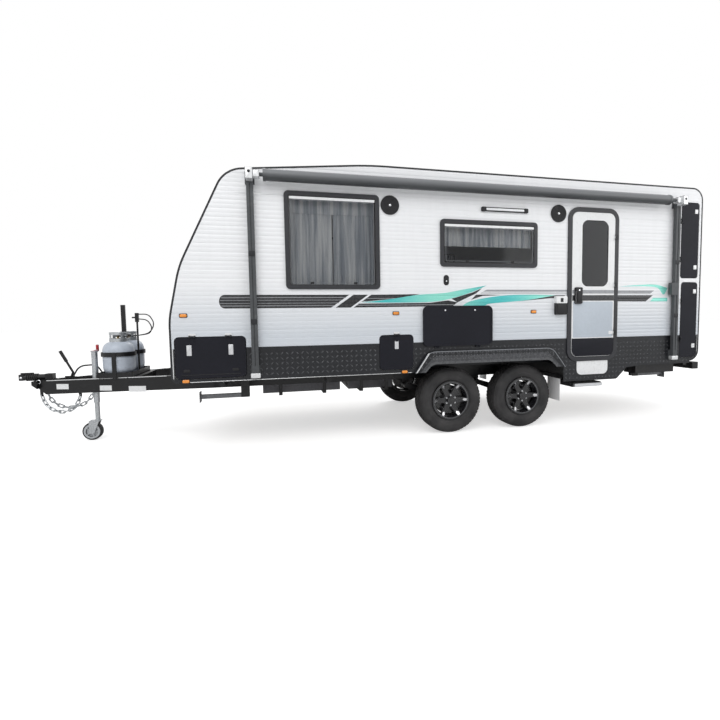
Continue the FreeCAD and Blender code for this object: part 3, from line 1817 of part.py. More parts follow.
def steady_brackets():
    front = steady_bracket(steady_front_x, -1)
    rear = steady_bracket(steady_rear_x, 1)
    return both_sides(group([front, rear]))


def water_tanks():
    shapes = []
    for x0, x1 in tank_x:
        top = rail_top_z - cross_depth - seat_gap
        shapes.append(box(x0, x1, -tank_half, tank_half, top - tank_depth, top))
    return group(shapes)


def stowage_box():
    """The closed box under the tail on the door side."""
    x1 = body_length - stow_trail
    y = -half_width + stow_inset
    return box(x1 - stow_length, x1, y, y + stow_width, stow_low_z, rail_top_z - seat_gap)


def rear_bumper():
    run = rail_end_x - rail_start_x - cross_width
    x0 = rail_start_x + run * cross_share[-1] + cross_width + seat_gap
    x1 = body_length + bar_out
    shapes = []
    for side in (-1, 1):
        y0, y1 = sorted((side * (bar_arm_y - rail_width / 2), side * (bar_arm_y + rail_width / 2)))
        shapes.append(box(x0, x1, y0, y1, bar_z - bar_height / 2, bar_z + bar_height / 2))
    shapes.append(box(
        x1, x1 + bar_depth, -bar_half, bar_half, bar_z - bar_height / 2, bar_z + bar_height / 2,
    ))
    post_x0 = x1
    shapes.append(box(
        post_x0, post_x0 + bar_depth / 2, spare_y - spare_post / 2, spare_y + spare_post / 2,
        bar_z, spare_z + spare_post,
    ))
    shapes.append(rod(V(post_x0, spare_y, spare_z), V(spare_seat_x(), spare_y, spare_z), spare_drum_r))
    return fuse(shapes)


def spare_seat_x():
    """Where the spare's hub face meets its mount, with the tyre clear of the post."""
    behind = tyre_width - spoke_face - spoke_thick - hub_back
    return body_length + bar_out + bar_depth / 2 + behind + spare_clear


def spare_outer_x():
    return spare_seat_x() + seat_gap + spoke_face + spoke_thick + hub_back


def spare_of(shape):
    placed = shape.copy()
    placed.rotate(V(0, 0, 0), V(0, 0, 1), 90)
    placed.translate(V(spare_outer_x(), spare_y, spare_z))
    return placed


def air_conditioner():
    x0, x1 = cooler_x
    low = Part.makePolygon([
        V(x0, -cooler_half, roof_top_z), V(x1, -cooler_half, roof_top_z),
        V(x1, cooler_half, roof_top_z), V(x0, cooler_half, roof_top_z), V(x0, -cooler_half, roof_top_z),
    ])
    t = cooler_taper
    z = roof_top_z + cooler_height
    high = Part.makePolygon([
        V(x0 + t * 2, -cooler_half + t, z), V(x1 - t, -cooler_half + t, z),
        V(x1 - t, cooler_half - t, z), V(x0 + t * 2, cooler_half - t, z), V(x0 + t * 2, -cooler_half + t, z),
    ])
    return Part.makeLoft([low, high], True, True)


def roof_hatch(x):
    half = roof_hatch_half
    inner = half - roof_hatch_taper
    kerb = box(x - half, x + half, -half, half, roof_top_z, roof_top_z + roof_hatch_height / 2)
    rings = []
    for reach, z in ((half, roof_top_z + roof_hatch_height / 2), (inner, roof_top_z + roof_hatch_height)):
        rings.append(Part.makePolygon([
            V(x - reach, -reach, z), V(x + reach, -reach, z), V(x + reach, reach, z),
            V(x - reach, reach, z), V(x - reach, -reach, z),
        ]))
    return fuse([kerb, Part.makeLoft(rings, True, True)])


def partitions():
    """The boot's bulkhead and lid, and the tail locker's own plates, each a seat's gap from the next."""
    wall, gap = liner_wall, seat_gap
    boot_top = boot_opening[3] + wall
    locker_x, locker_end = lower_locker[0] - wall * 2, body_length - end_wall
    back = -locker_inner_y
    inside = locker_x + wall + gap
    plates = [
        box(boot_depth_x, boot_depth_x + wall, -inner_half, inner_half, floor_top_z, boot_top),
        box(end_wall, boot_depth_x - gap, -inner_half, inner_half, boot_top - wall, boot_top),
        box(locker_x, locker_x + wall, -inner_half, back, floor_top_z, upper_locker[3] + wall),
        box(inside, locker_end, back - wall, back, floor_top_z, upper_locker[3] + wall),
        box(inside, locker_end, -inner_half, back - wall - gap, lower_locker[3], upper_locker[2]),
        box(inside, locker_end, -inner_half, back - wall - gap, upper_locker[3], upper_locker[3] + wall),
    ]
    within = body_block(end_wall, -inner_half, inner_half)
    return group([plate.common(within) for plate in plates])


tyre = wheel_tyre()
driven_rim = wheel_rim(True)
spare_rim_shape = wheel_rim(False)

parts = {
    "left_wall": left_wall(),
    "right_wall": right_wall(),
    "front_wall": front_wall(),
    "roof": roof(),
    "rear_wall": rear_wall(),
    "floor": floor(),
    "edge_mouldings": edge_mouldings(),
    "skirts": skirts(),
    "wheel_arches": wheel_arches(),
    "wall_frames": group([window_frames(), door_frame()]),
    "window_panes": window_panes(),
    "curtains": curtains(),
    "entry_door": entry_door(),
    "door_glass": door_glass(),
    "hinges": hinges(),
    "boot_door_left": boot_door_left(),
    "boot_door_right": boot_door_right(),
    "service_hatch": service_hatch(),
    "locker_door_upper": locker_door_upper(),
    "locker_door_lower": locker_door_lower(),
    "picnic_table": picnic_table(),
    "awning_roll": awning_roll(),
    "awning_arms": awning_arms(),
    "side_fittings": side_fittings(),
    "lamps": group([marker_lamps(), tail_lamps()]),
    "chassis_rails": chassis_rails(),
    "cross_members": group([
        cross_members(), drawbar_brace(), steady_brackets(), step_housing(), flap_bars(), tank_straps(),
        stowage_box(),
    ]),
    "drawbar_arms": drawbar_arms(),
    "coupling": coupling(),
    "handbrake_lever": handbrake_lever(),
    "safety_chains": safety_chains(),
    "jockey_tube": jockey_tube(),
    "jockey_leg": jockey_leg(),
    "jockey_fork": jockey_fork(),
    "jockey_wheel": jockey_wheel(),
    "gas_bottles": gas_bottles(),
    "gas_rack": gas_rack(),
    "gas_hoses": gas_hoses(),
    "suspension_arms": suspension_arms(),
    "coil_springs": coil_springs(),
    "entry_step": entry_step(),
    "mud_flaps": mud_flaps(),
    "water_tanks": water_tanks(),
    "rear_bumper": rear_bumper(),
    "spare_tyre": spare_of(tyre),
    "spare_rim": spare_of(spare_rim_shape),
    "roof_fittings": group([air_conditioner()] + [roof_hatch(x) for x in roof_hatch_x]),
    "partitions": partitions(),
}

for x, end in zip(axle_places(), ("front", "rear")):
    for side, hand in ((-1, "left"), (1, "right")):
        parts[f"tyre_{end}_{hand}"] = at_wheel(tyre, x, side)
        parts[f"rim_{end}_{hand}"] = at_wheel(driven_rim, x, side)

for x, direction, end in ((steady_front_x, -1, "front"), (steady_rear_x, 1, "rear")):
    leg = steady(x, direction)
    parts[f"steady_{end}_left"] = leg
    parts[f"steady_{end}_right"] = mirrored(leg)

# The origin is under the middle of the whole vehicle, on the ground.
front_reach = drawbar_tip_x - coupling_reach
rear_reach = spare_outer_x() + hub_cap_height - spoke_face
left_reach = -(half_width + roll_out + roll_cap_r)
right_reach = half_width + skirt_skin + flare_proud
to_origin = V(-(front_reach + rear_reach) / 2, -(left_reach + right_reach) / 2, 0)

if __name__ == "__main__":
    os.makedirs("parts", exist_ok=True)
    for name, shape in parts.items():
        placed = shape.copy()
        placed.translate(to_origin)
        placed.exportStep(f"parts/{name}.step")
        print(name, len(placed.Solids), placed.isValid(), round(placed.Volume / 1e6, 3))
    print("shift", to_origin)
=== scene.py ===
import math
import random

import bmesh
import bpy
from mathutils import Matrix, Vector
from mathutils.bvhtree import BVHTree


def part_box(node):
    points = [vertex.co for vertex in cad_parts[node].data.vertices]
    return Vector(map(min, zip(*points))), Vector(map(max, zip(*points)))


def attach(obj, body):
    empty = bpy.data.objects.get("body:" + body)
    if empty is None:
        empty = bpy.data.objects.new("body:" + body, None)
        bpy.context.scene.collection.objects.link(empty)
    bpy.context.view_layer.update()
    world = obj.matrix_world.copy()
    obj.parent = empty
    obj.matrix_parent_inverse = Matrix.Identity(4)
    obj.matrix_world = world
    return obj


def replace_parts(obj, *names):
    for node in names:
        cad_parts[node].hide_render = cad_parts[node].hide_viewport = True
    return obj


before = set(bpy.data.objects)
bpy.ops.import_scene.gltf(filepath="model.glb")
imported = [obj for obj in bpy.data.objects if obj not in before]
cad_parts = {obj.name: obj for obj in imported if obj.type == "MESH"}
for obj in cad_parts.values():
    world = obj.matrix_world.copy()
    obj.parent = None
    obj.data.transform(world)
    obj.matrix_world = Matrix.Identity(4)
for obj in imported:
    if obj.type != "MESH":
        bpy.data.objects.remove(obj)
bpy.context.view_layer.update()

# Places that everything follows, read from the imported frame, in metres
near_lo, near_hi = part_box("left_wall")
far_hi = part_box("right_wall")[1]
front_x = near_lo.x
body_length = near_hi.x - near_lo.x
mid_y = (near_lo.y + far_hi.y) / 2
half = (far_hi.y - near_lo.y) / 2
roof_z = near_hi.z
skirt_lo, skirt_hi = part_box("skirts")
skirt_top = 1.05
NEAR, FAR = -1, 1
SIDES = {NEAR: "near", FAR: "far"}
UP = Vector((0, 0, 1))

# How far a piece that is laid on a face sinks into it
sunk = 0.001


def at(x, out, z, side=NEAR):
    """A point x behind the body's front, standing out from a side wall's face."""
    return Vector((front_x + x, mid_y + side * (half + out), z))


def from_nose(x, across, z):
    """A point x behind the body's front and across from the mid-plane, the far side being positive."""
    return Vector((front_x + x, mid_y + across, z))


def show(name, data):
    """A new object of some data, linked to the scene."""
    obj = bpy.data.objects.new(name, data)
    bpy.context.scene.collection.objects.link(obj)
    return obj


# Camera, at the photograph's viewing angle

camera_ahead = 0.984
camera_off_wall = 4.532
camera_height = 1.325
camera_yaw = 0.2454
camera_pitch = 0.0661
camera_roll = -0.0136
camera_lens = 22.15
camera_sensor = 36
camera_shift = (-0.0399, -0.0186)
camera_far = 200


def make_camera():
    data = bpy.data.cameras.new("camera")
    data.lens = camera_lens
    data.sensor_width = camera_sensor
    data.shift_x, data.shift_y = camera_shift
    data.clip_end = camera_far
    camera = show("camera", data)
    level = math.cos(camera_pitch)
    ahead = Vector((math.sin(camera_yaw) * level, math.cos(camera_yaw) * level, -math.sin(camera_pitch)))
    right = Vector((math.cos(camera_yaw), -math.sin(camera_yaw), 0))
    up = right.cross(ahead)
    turned = right * math.cos(camera_roll) + up * math.sin(camera_roll)
    up = up * math.cos(camera_roll) - right * math.sin(camera_roll)
    matrix = Matrix((turned, up, -ahead)).transposed().to_4x4()
    matrix.translation = at(camera_ahead, camera_off_wall, camera_height)
    camera.matrix_world = matrix
    bpy.context.scene.camera = camera


make_camera()


# Materials

def set_or_link(tree, socket, value):
    if isinstance(value, bpy.types.NodeSocket):
        tree.links.new(value, socket)
    else:
        socket.default_value = value


def add(tree, kind, **inputs):
    """A node with its inputs set or linked; a name that ends in a number picks the input of that number."""
    node = tree.nodes.new(kind)
    for name, value in inputs.items():
        words = name.lower().split("_")
        if words[-1].isdigit():
            socket = node.inputs[int(words[-1])]
        else:
            socket = next(s for s in node.inputs if s.name.lower() == " ".join(words))
        set_or_link(tree, socket, value)
    return node


def calculate(tree, operation, *values):
    node = add(tree, "ShaderNodeMath", **{f"Value_{i}": value for i, value in enumerate(values)})
    node.operation = operation
    return node.outputs[0]


def object_coords(tree):
    return tree.nodes.new("ShaderNodeTexCoord").outputs["Object"]


def axis_of(tree, axis):
    return add(tree, "ShaderNodeSeparateXYZ", Vector=object_coords(tree)).outputs[axis]


def noise(tree, scale, stretch=(1, 1, 1), detail=4.0):
    mapping = add(tree, "ShaderNodeMapping", Vector=object_coords(tree), Scale=stretch)
    node = add(tree, "ShaderNodeTexNoise", Vector=mapping.outputs["Vector"], Scale=scale, Detail=detail)
    return node.outputs["Fac"]


def blend_colour(tree, factor, first, second):
    node = tree.nodes.new("ShaderNodeMix")
    node.data_type = "RGBA"
    for index, value in ((0, factor), (6, first), (7, second)):
        set_or_link(tree, node.inputs[index], value + (1,) if isinstance(value, tuple) else value)
    return node.outputs[2]


def remap(tree, value, low, high, start=0.0, end=1.0):
    """The value from start to end, carried over to low to high."""
    return add(
        tree, "ShaderNodeMapRange", Value=value, From_Min=start, From_Max=end, To_Min=low, To_Max=high
    ).outputs["Result"]


def height_fade(tree, low, high):
    """1 at the low height and 0 at the high one."""
    return remap(tree, axis_of(tree, "Z"), 1.0, 0.0, low, high)


def new_material(name):
    material = bpy.data.materials.new(name)
    material.use_nodes = True
    return material, material.node_tree


def dress(material, colour, rough, bump=None, **values):
    """Links a material's colour, gloss and bump (height, strength, distance) and sets its other values."""
    tree = material.node_tree
    shader = tree.nodes["Principled BSDF"]
    set_or_link(tree, shader.inputs["Base Color"], colour)
    set_or_link(tree, shader.inputs["Roughness"], rough)
    if bump:
        height, strength, distance = bump
        node = add(tree, "ShaderNodeBump", Height=height, Strength=strength, Distance=distance)
        tree.links.new(node.outputs["Normal"], shader.inputs["Normal"])
    for name, value in values.items():
        set_or_link(tree, shader.inputs[name.replace("_", " ")], value)
    return material


gloss_spread = 0.1
coat_rough = 0.12


def finish_of(
    name, colour, rough, metal=0.0, spread=0.12, mottle=2.5, grain=0.0, grain_scale=400.0,
    stretch=(1, 1, 1), coat=0.0, shine=0.5,
):
    """A finish with its own colour variation, uneven gloss and fine surface grain."""
    material, tree = new_material(name)
    fine = noise(tree, mottle * 14, stretch, 6.0)
    mixed = calculate(tree, "MULTIPLY", noise(tree, mottle, stretch), fine)
    dark, light = (tuple(min(1.0, c * share) for c in colour) for share in (1 - spread, 1 + spread))
    tone = blend_colour(tree, remap(tree, mixed, 0.0, 1.0, 0.1, 0.42), dark, light)
    gloss = remap(tree, fine, rough - gloss_spread, rough + gloss_spread, 0.25, 0.75)
    bump = (noise(tree, grain_scale, stretch, 3.0), 0.6, grain) if grain else None
    return dress(
        material, tone, gloss, bump,
        Metallic=metal, Coat_Weight=coat, Coat_Roughness=coat_rough, Specular_IOR_Level=shine,
    )


def cladding_material():
    """White painted aluminium boards, with painted shade that makes them a little cooler and greyer towards
    the foot.
    """
    material, tree = new_material("cladding_white")
    # painted shade: cooler, greyer boards towards the foot
    foot_shade = height_fade(tree, skirt_top + 0.10, skirt_top + 0.62)
    streaks = noise(tree, 2.0, (9, 1, 0.7), 5.0)
    tone = blend_colour(tree, foot_shade, (0.87, 0.88, 0.90), (0.62, 0.66, 0.71))
    dulled = blend_colour(tree, remap(tree, streaks, 0.0, 0.12, 0.45, 0.8), tone, (0.66, 0.67, 0.68))
    return dress(material, dulled, remap(tree, streaks, 0.26, 0.40), (noise(tree, 180.0), 0.25, 0.0006))


def swoosh_material():
    """Metallic vinyl that runs from deep aqua to mint along the vehicle."""
    material, tree = new_material("decal_teal")
    wave = calculate(tree, "SINE", calculate(tree, "MULTIPLY", axis_of(tree, "X"), 4.6))
    speckle = noise(tree, 900.0)
    tone = blend_colour(tree, remap(tree, wave, 0.0, 1.0, -1.0, 1.0), (0.03, 0.47, 0.48), (0.26, 0.74, 0.62))
    flecked = blend_colour(tree, remap(tree, speckle, 0.0, 0.25, 0.45, 0.7), tone, (0.55, 0.85, 0.80))
    return dress(material, flecked, remap(tree, speckle, 0.22, 0.34), Metallic=0.15)


def glass_material(name, alpha, coat):
    """Dark tinted acrylic; a plain alpha lets the curtains show."""
    material, tree = new_material(name)
    waves = noise(tree, 1.6, (1, 1, 0.6), 2.0)
    tone = blend_colour(tree, waves, (0.006, 0.007, 0.009), (0.020, 0.022, 0.027))
    return dress(
        material, tone, remap(tree, waves, 0.03, 0.07), (noise(tree, 3.0), 0.3, 0.004),
        Alpha=alpha, Coat_Weight=coat, Coat_Roughness=0.03, Specular_IOR_Level=0.4,
    )


def cloth_material():
    """Pale woven cloth with painted light and shade in bands down its folds."""
    material, tree = new_material("curtain_cloth")
    weave = noise(tree, 260.0, (1, 1, 3), 2.0)
    # painted light and shade: light and dark bands down the folds
    folds = remap(tree, noise(tree, 24.0, (1, 1, 0.05), 3.0), 0.0, 1.0, 0.40, 0.62)
    tone = blend_colour(tree, folds, (0.42, 0.47, 0.53), (0.92, 0.95, 0.97))
    return dress(material, tone, remap(tree, weave, 0.75, 0.95), (weave, 0.5, 0.001), Sheen_Weight=0.4)


# Heights between which the awning roll goes from painted shade below to painted light above
awning_shade_span = (2.648, 2.738)


def awning_material():
    """Vinyl from pale grey at the roll's top to charcoal lower down: painted light on top, painted shade
    below.
    """
    material, tree = new_material("awning_vinyl")
    weave = noise(tree, 500.0, (0.2, 1, 1), 3.0)
    # painted light and shade: pale grey at the roll's top, charcoal lower down
    tone = blend_colour(tree, height_fade(tree, *awning_shade_span), (0.27, 0.28, 0.295), (0.035, 0.038, 0.042))
    stains = remap(tree, noise(tree, 3.0, (0.4, 1, 1)), 0.0, 0.25, 0.3, 0.7)
    mottled = blend_colour(tree, stains, tone, (0.14, 0.15, 0.155))
    return dress(material, mottled, remap(tree, weave, 0.30, 0.44), (weave, 0.5, 0.0006))


def zinc_material():
    """Hot-dip zinc with its crystal spangle."""
    material, tree = new_material("zinc")
    cells = add(tree, "ShaderNodeTexVoronoi", Vector=object_coords(tree), Scale=90.0).outputs["Distance"]
    tone = blend_colour(tree, remap(tree, cells, 0.0, 1.0, 0.0, 0.8), (0.62, 0.64, 0.65), (0.42, 0.44, 0.46))
    return dress(material, tone, remap(tree, cells, 0.28, 0.5, 0.0, 0.8), Metallic=0.85)


def tyre_material():
    """Black rubber with dust in patches."""
    material, tree = new_material("tyre_rubber")
    dust = noise(tree, 5.0, (1, 1, 1), 5.0)
    patches = remap(tree, dust, 0.0, 1.0, 0.35, 0.7)
    tone = blend_colour(tree, patches, (0.010, 0.010, 0.011), (0.048, 0.046, 0.047))
    return dress(material, tone, remap(tree, dust, 0.6, 0.85), (noise(tree, 120.0), 0.4, 0.0012))


finishes = {
    "cladding": cladding_material(),
    "white": finish_of("white_panel", (0.82, 0.83, 0.84), 0.34, spread=0.04, grain=0.0004),
    "trim": finish_of("black_trim", (0.022, 0.023, 0.026), 0.45, spread=0.25, grain=0.0004, shine=0.3),
    "frame": finish_of("window_frame", (0.030, 0.031, 0.036), 0.40, spread=0.2, grain=0.0003, shine=0.35),
    "checker": finish_of("black_checker", (0.010, 0.011, 0.014), 0.34, spread=0.3, grain=0.0005, shine=0.4),
    "lozenge": finish_of("checker_raised", (0.045, 0.047, 0.053), 0.26, spread=0.3, shine=0.6),
    "panel": finish_of("black_panel", (0.012, 0.0125, 0.018), 0.5, spread=0.16, grain=0.0003, shine=0.16),
    "door_grey": finish_of("door_grey", (0.49, 0.545, 0.61), 0.4, spread=0.04, grain=0.0004),
    "glass": glass_material("tinted_glass", 0.30, 0.35),
    "door_glass": glass_material("dark_glass", 0.55, 0.10),
    "cloth": cloth_material(),
    "teal": swoosh_material(),
    "decal_black": finish_of("decal_black", (0.017, 0.018, 0.021), 0.28, spread=0.2),
    "decal_grey": finish_of("decal_grey", (0.30, 0.31, 0.33), 0.30, spread=0.1),
    "decal_white": finish_of("decal_white", (0.84, 0.85, 0.86), 0.30, spread=0.03),
    "vinyl": awning_material(),
    "arm": finish_of("dark_grey_arm", (0.075, 0.080, 0.085), 0.42, spread=0.2, grain=0.0003, shine=0.3),
    "plastic": finish_of("black_plastic", (0.016, 0.016, 0.018), 0.48, spread=0.2, grain=0.0006, shine=0.3),
    "tank": finish_of("tank_plastic", (0.10, 0.10, 0.11), 0.55, spread=0.2, grain=0.0015, grain_scale=120),
    "chassis": finish_of("chassis_black", (0.008, 0.008, 0.009), 0.36, spread=0.3, grain=0.0004, shine=0.4),
    "spring": finish_of("spring_steel", (0.03, 0.03, 0.034), 0.4, metal=0.4, spread=0.3),
    "bottle": finish_of("bottle_grey", (0.55, 0.605, 0.69), 0.34, spread=0.08, grain=0.0006, grain_scale=90),
    "aluminium": finish_of(
        "aluminium", (0.68, 0.69, 0.71), 0.32, metal=0.9, spread=0.08, stretch=(0.1, 1, 1), mottle=20
    ),
    "machined": finish_of(
        "machined_alloy", (0.72, 0.72, 0.74), 0.26, metal=1.0, spread=0.08, mottle=40, stretch=(1, 0.2, 1)
    ),
    "alloy": finish_of("black_alloy", (0.012, 0.012, 0.014), 0.24, spread=0.3, coat=0.5),
    "zinc": zinc_material(),
    "bright": finish_of("bright_steel", (0.70, 0.71, 0.73), 0.24, metal=1.0, spread=0.08, mottle=30),
    "flap": finish_of("white_rubber", (0.92, 0.92, 0.93), 0.6, spread=0.03, grain=0.0006),
    "tyre": tyre_material(),
    "rubber": finish_of("black_rubber", (0.022, 0.022, 0.024), 0.66, spread=0.25, grain=0.0006),
    "amber": finish_of("amber_lens", (0.93, 0.30, 0.02), 0.16, coat=0.8),
    "red": finish_of("red_lens", (0.55, 0.012, 0.012), 0.16, coat=0.8),
    "clear": finish_of("clear_lens", (0.80, 0.82, 0.84), 0.12, spread=0.06, coat=0.8),
    "floor": finish_of("floor_board", (0.30, 0.24, 0.18), 0.45, spread=0.2, stretch=(0.3, 3, 1), mottle=6),
    "liner": finish_of("liner_board", (0.62, 0.60, 0.56), 0.5, spread=0.08, grain=0.0004),
    # painted highlight: a lighter grey for the edges of panes and the rims of the flares
    "edge_highlight": finish_of("edge_highlight_grey", (0.22, 0.23, 0.25), 0.36, spread=0.15),
    # painted highlight: the smooth dark rolled lip of the flares, painted a lighter grey
    "flare_lip_highlight": finish_of("flare_lip_highlight_grey", (0.075, 0.078, 0.084), 0.30, spread=0.2, shine=0.6),
    "steady": finish_of("dull_galvanised", (0.17, 0.175, 0.185), 0.5, metal=0.3, spread=0.25, mottle=30),
    "wheel_grey": finish_of("pressed_wheel_grey", (0.48, 0.50, 0.52), 0.4, metal=0.3),
    "casting": finish_of("cast_aluminium", (0.74, 0.75, 0.76), 0.36, metal=0.55, spread=0.08, grain=0.0003),
    "brass": finish_of("valve_brass", (0.58, 0.42, 0.18), 0.32, metal=1.0, spread=0.15),
    "red_paint": finish_of("red_grip", (0.42, 0.02, 0.03), 0.4, spread=0.15),
}

cad_finish = {
    "white": "left_wall right_wall front_wall roof rear_wall entry_door roof_fittings",
    "floor": "floor",
    "liner": "partitions",
    "trim": "edge_mouldings hinges",
    "checker": "skirts wheel_arches",
    "frame": "wall_frames",
    "glass": "window_panes",
    "door_glass": "door_glass",
    "panel": "boot_door_left boot_door_right service_hatch locker_door_upper locker_door_lower picnic_table",
    "vinyl": "awning_roll",
    "arm": "awning_arms",
    "plastic": "side_fittings lamps",
    "chassis": "chassis_rails cross_members drawbar_arms coupling handbrake_lever gas_rack suspension_arms"
               " rear_bumper",
    "zinc": "safety_chains jockey_tube jockey_leg jockey_fork",
    "rubber": "jockey_wheel gas_hoses",
    "bottle": "gas_bottles",
    "spring": "coil_springs",
    "aluminium": "entry_step",
    "flap": "mud_flaps",
    "tank": "water_tanks",
    "alloy": "spare_rim rim_front_left rim_front_right rim_rear_left rim_rear_right",
    "steady": "steady_front_left steady_front_right steady_rear_left steady_rear_right",
}
for finish, nodes in cad_finish.items():
    for node in nodes.split():
        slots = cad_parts[node].data.materials
        if len(slots):
            slots[0] = finishes[finish]
        else:
            slots.append(finishes[finish])


# Mesh making

def rounded(x0, x1, z0, z1, radius, steps=6, low=None):
    """A rounded rectangle as points (x, z), counter-clockwise; low rounds its foot otherwise."""
    low = radius if low is None else low
    corners = (
        (x1 - low, z0 + low, -90, low), (x1 - radius, z1 - radius, 0, radius),
        (x0 + radius, z1 - radius, 90, radius), (x0 + low, z0 + low, 180, low),
    )
    points = []
    for cx, cz, start, r in corners:
        for i in range(steps + 1):
            angle = math.radians(start + 90 * i / steps)
            points.append((cx + r * math.cos(angle), cz + r * math.sin(angle)))
    return points


def grown(span, by):
    """A span (x0, x1, z0, z1) made larger all round."""
    x0, x1, z0, z1 = span
    return x0 - by, x1 + by, z0 - by, z1 + by


def filleted(points, radius, steps=6):
    """An open line of (x, z) points with its inner corners rounded."""
    line = [Vector(points[0])]
    for last, here, following in zip(points, points[1:], points[2:]):
        corner = Vector(here)
        before = (Vector(last) - corner).normalized()
        after = (Vector(following) - corner).normalized()
        reach = radius / math.tan(before.angle(after) / 2)
        start, end = corner + before * reach, corner + after * reach
        for k in range(steps + 1):
            t = k / steps
            line.append(start * (1 - t) ** 2 + corner * 2 * t * (1 - t) + end * t * t)
    line.append(Vector(points[-1]))
    return line


def smooth_line(points, steps=8):
    """A curve through given points, open, by Catmull-Rom spans."""
    padded = [points[0]] + list(points) + [points[-1]]
    line = []
    for i in range(1, len(padded) - 2):
        p0, p1, p2, p3 = (Vector(p) for p in padded[i - 1:i + 3])
        for k in range(steps):
            t = k / steps
            square = 2 * p0 - 5 * p1 + 4 * p2 - p3
            cube = 3 * p1 - p0 - 3 * p2 + p3
            line.append(0.5 * (2 * p1 + (p2 - p0) * t + square * t * t + cube * t ** 3))
    line.append(Vector(points[-1]))
    return line


def turns_about(axis, sides):
    """Unit vectors at even turns round an axis."""
    axis = Vector(axis).normalized()
    across = axis.orthogonal().normalized()
    other = axis.cross(across)
    angles = (2 * math.pi * k / sides for k in range(sides))
    return [across * math.cos(angle) + other * math.sin(angle) for angle in angles]


class Batch:
    """Collects many small forms into one mesh."""

    def __init__(self):
        self.verts = []
        self.faces = []

    def add(self, verts, faces):
        base = len(self.verts)
        self.verts.extend(Vector(v) for v in verts)
        self.faces.extend(tuple(base + i for i in face) for face in faces)

    def rings(self, rings, looped=False, tip=None):
        """Like rings of points joined in turn: back to the first, or closed by flat ends or a tip."""
        count, total = len(rings[0]), len(rings)
        last = (total - 1) * count
        faces = []
        for k in range(total if looped else total - 1):
            a, b = k * count, (k + 1) % total * count
            faces += [(a + i, a + (i + 1) % count, b + (i + 1) % count, b + i) for i in range(count)]
        verts = [v for ring in rings for v in ring]
        if not looped:
            faces.append(tuple(range(count - 1, -1, -1)))
            if tip is None:
                faces.append(tuple(range(last, last + count)))
            else:
                faces += [(last + i, last + (i + 1) % count, len(verts)) for i in range(count)]
                verts.append(tip)
        self.add(verts, faces)

    def side_slab(self, outline, inner, outer, side=NEAR):
        self.rings([[at(x, out, z, side) for x, z in outline] for out in (inner, outer)])

    def side_ring(self, outline, hole, inner, outer, side=NEAR):
        """A flat ring between two like outlines."""
        edges = ((outline, inner), (outline, outer), (hole, outer), (hole, inner))
        self.rings([[at(x, out, z, side) for x, z in edge] for edge, out in edges], looped=True)

    def side_pillow(self, span, radius, inner, outer, soft, side=NEAR, low=None, steps=3):
        """A rounded plate with a soft outer edge."""
        low = radius if low is None else low
        rings = [[at(x, inner, z, side) for x, z in rounded(*span, radius, low=low)]]
        for k in range(steps + 1):
            angle = math.pi / 2 * k / steps
            pull = soft * (1 - math.cos(angle))
            out = outer - soft + soft * math.sin(angle)
            edge = rounded(*grown(span, -pull), max(radius - pull, 0.001), low=max(low - pull, 0.001))
            rings.append([at(x, out, z, side) for x, z in edge])
        self.rings(rings)

    def plate(self, span, radius, out, proud, soft, side=NEAR, low=None):
        """A soft-edged plate laid on a face that stands out from the wall by out."""
        self.side_pillow(span, radius, out - sunk, out + proud, soft, side, low)

    def pad(self, x, z, wide, tall, radius, out, proud, soft, side=NEAR):
        """A plate round a middle point, wide and tall being half its size."""
        self.plate((x - wide, x + wide, z - tall, z + tall), radius, out, proud, soft, side)

    def block(self, lo, hi):
        x0, y0, z0 = lo
        x1, y1, z1 = hi
        self.rings([[(x0, y0, z), (x1, y0, z), (x1, y1, z), (x0, y1, z)] for z in (z0, z1)])

    def rod(self, start, end, radius, sides=16, end_radius=None):
        start, end = Vector(start), Vector(end)
        last = radius if end_radius is None else end_radius
        turns = turns_about(end - start, sides)
        self.rings([[start + turn * radius for turn in turns], [end + turn * last for turn in turns]])

    def tube(self, points, radius, sides=8):
        """A round bar along a line of points."""
        points = [Vector(p) for p in points]
        rings = []
        across = None
        for i, point in enumerate(points):
            ahead = (points[min(i + 1, len(points) - 1)] - points[max(i - 1, 0)]).normalized()
            if across is None:
                across = ahead.orthogonal().normalized()
            across = (across - ahead * across.dot(ahead)).normalized()
            other = ahead.cross(across)
            angles = (2 * math.pi * k / sides for k in range(sides))
            rings.append([point + (across * math.cos(a) + other * math.sin(a)) * radius for a in angles])
        self.rings(rings)

    def dome(self, centre, normal, radius, height, sides=12, rings=3):
        """A low round head standing on a surface."""
        normal = Vector(normal).normalized()
        turns = turns_about(normal, sides)
        stack = []
        for j in range(rings):
            angle = math.pi / 2 * j / rings
            level = Vector(centre) + normal * height * math.sin(angle)
            stack.append([level + turn * radius * math.cos(angle) for turn in turns])
        self.rings(stack, tip=Vector(centre) + normal * height)

    def lathe(self, profile, centre, axis, sides=64):
        """A closed outline of (radius, along) turned about an axis."""
        centre, axis = Vector(centre), Vector(axis).normalized()
        turns = turns_about(axis, sides)
        self.rings([[centre + turn * r + axis * a for r, a in profile] for turn in turns], looped=True)

    def mesh(self, name):
        data = bpy.data.meshes.new(name)
        data.from_pydata([tuple(v) for v in self.verts], [], self.faces)
        tidy = bmesh.new()
        tidy.from_mesh(data)
        bmesh.ops.recalc_face_normals(tidy, faces=tidy.faces)
        tidy.to_mesh(data)
        tidy.free()
        return data

    def finish(self, name, body, finish, slot=None, angle=35, bevel=0.0):
        return piece(name, self.mesh(name), body, finish, angle, bevel)


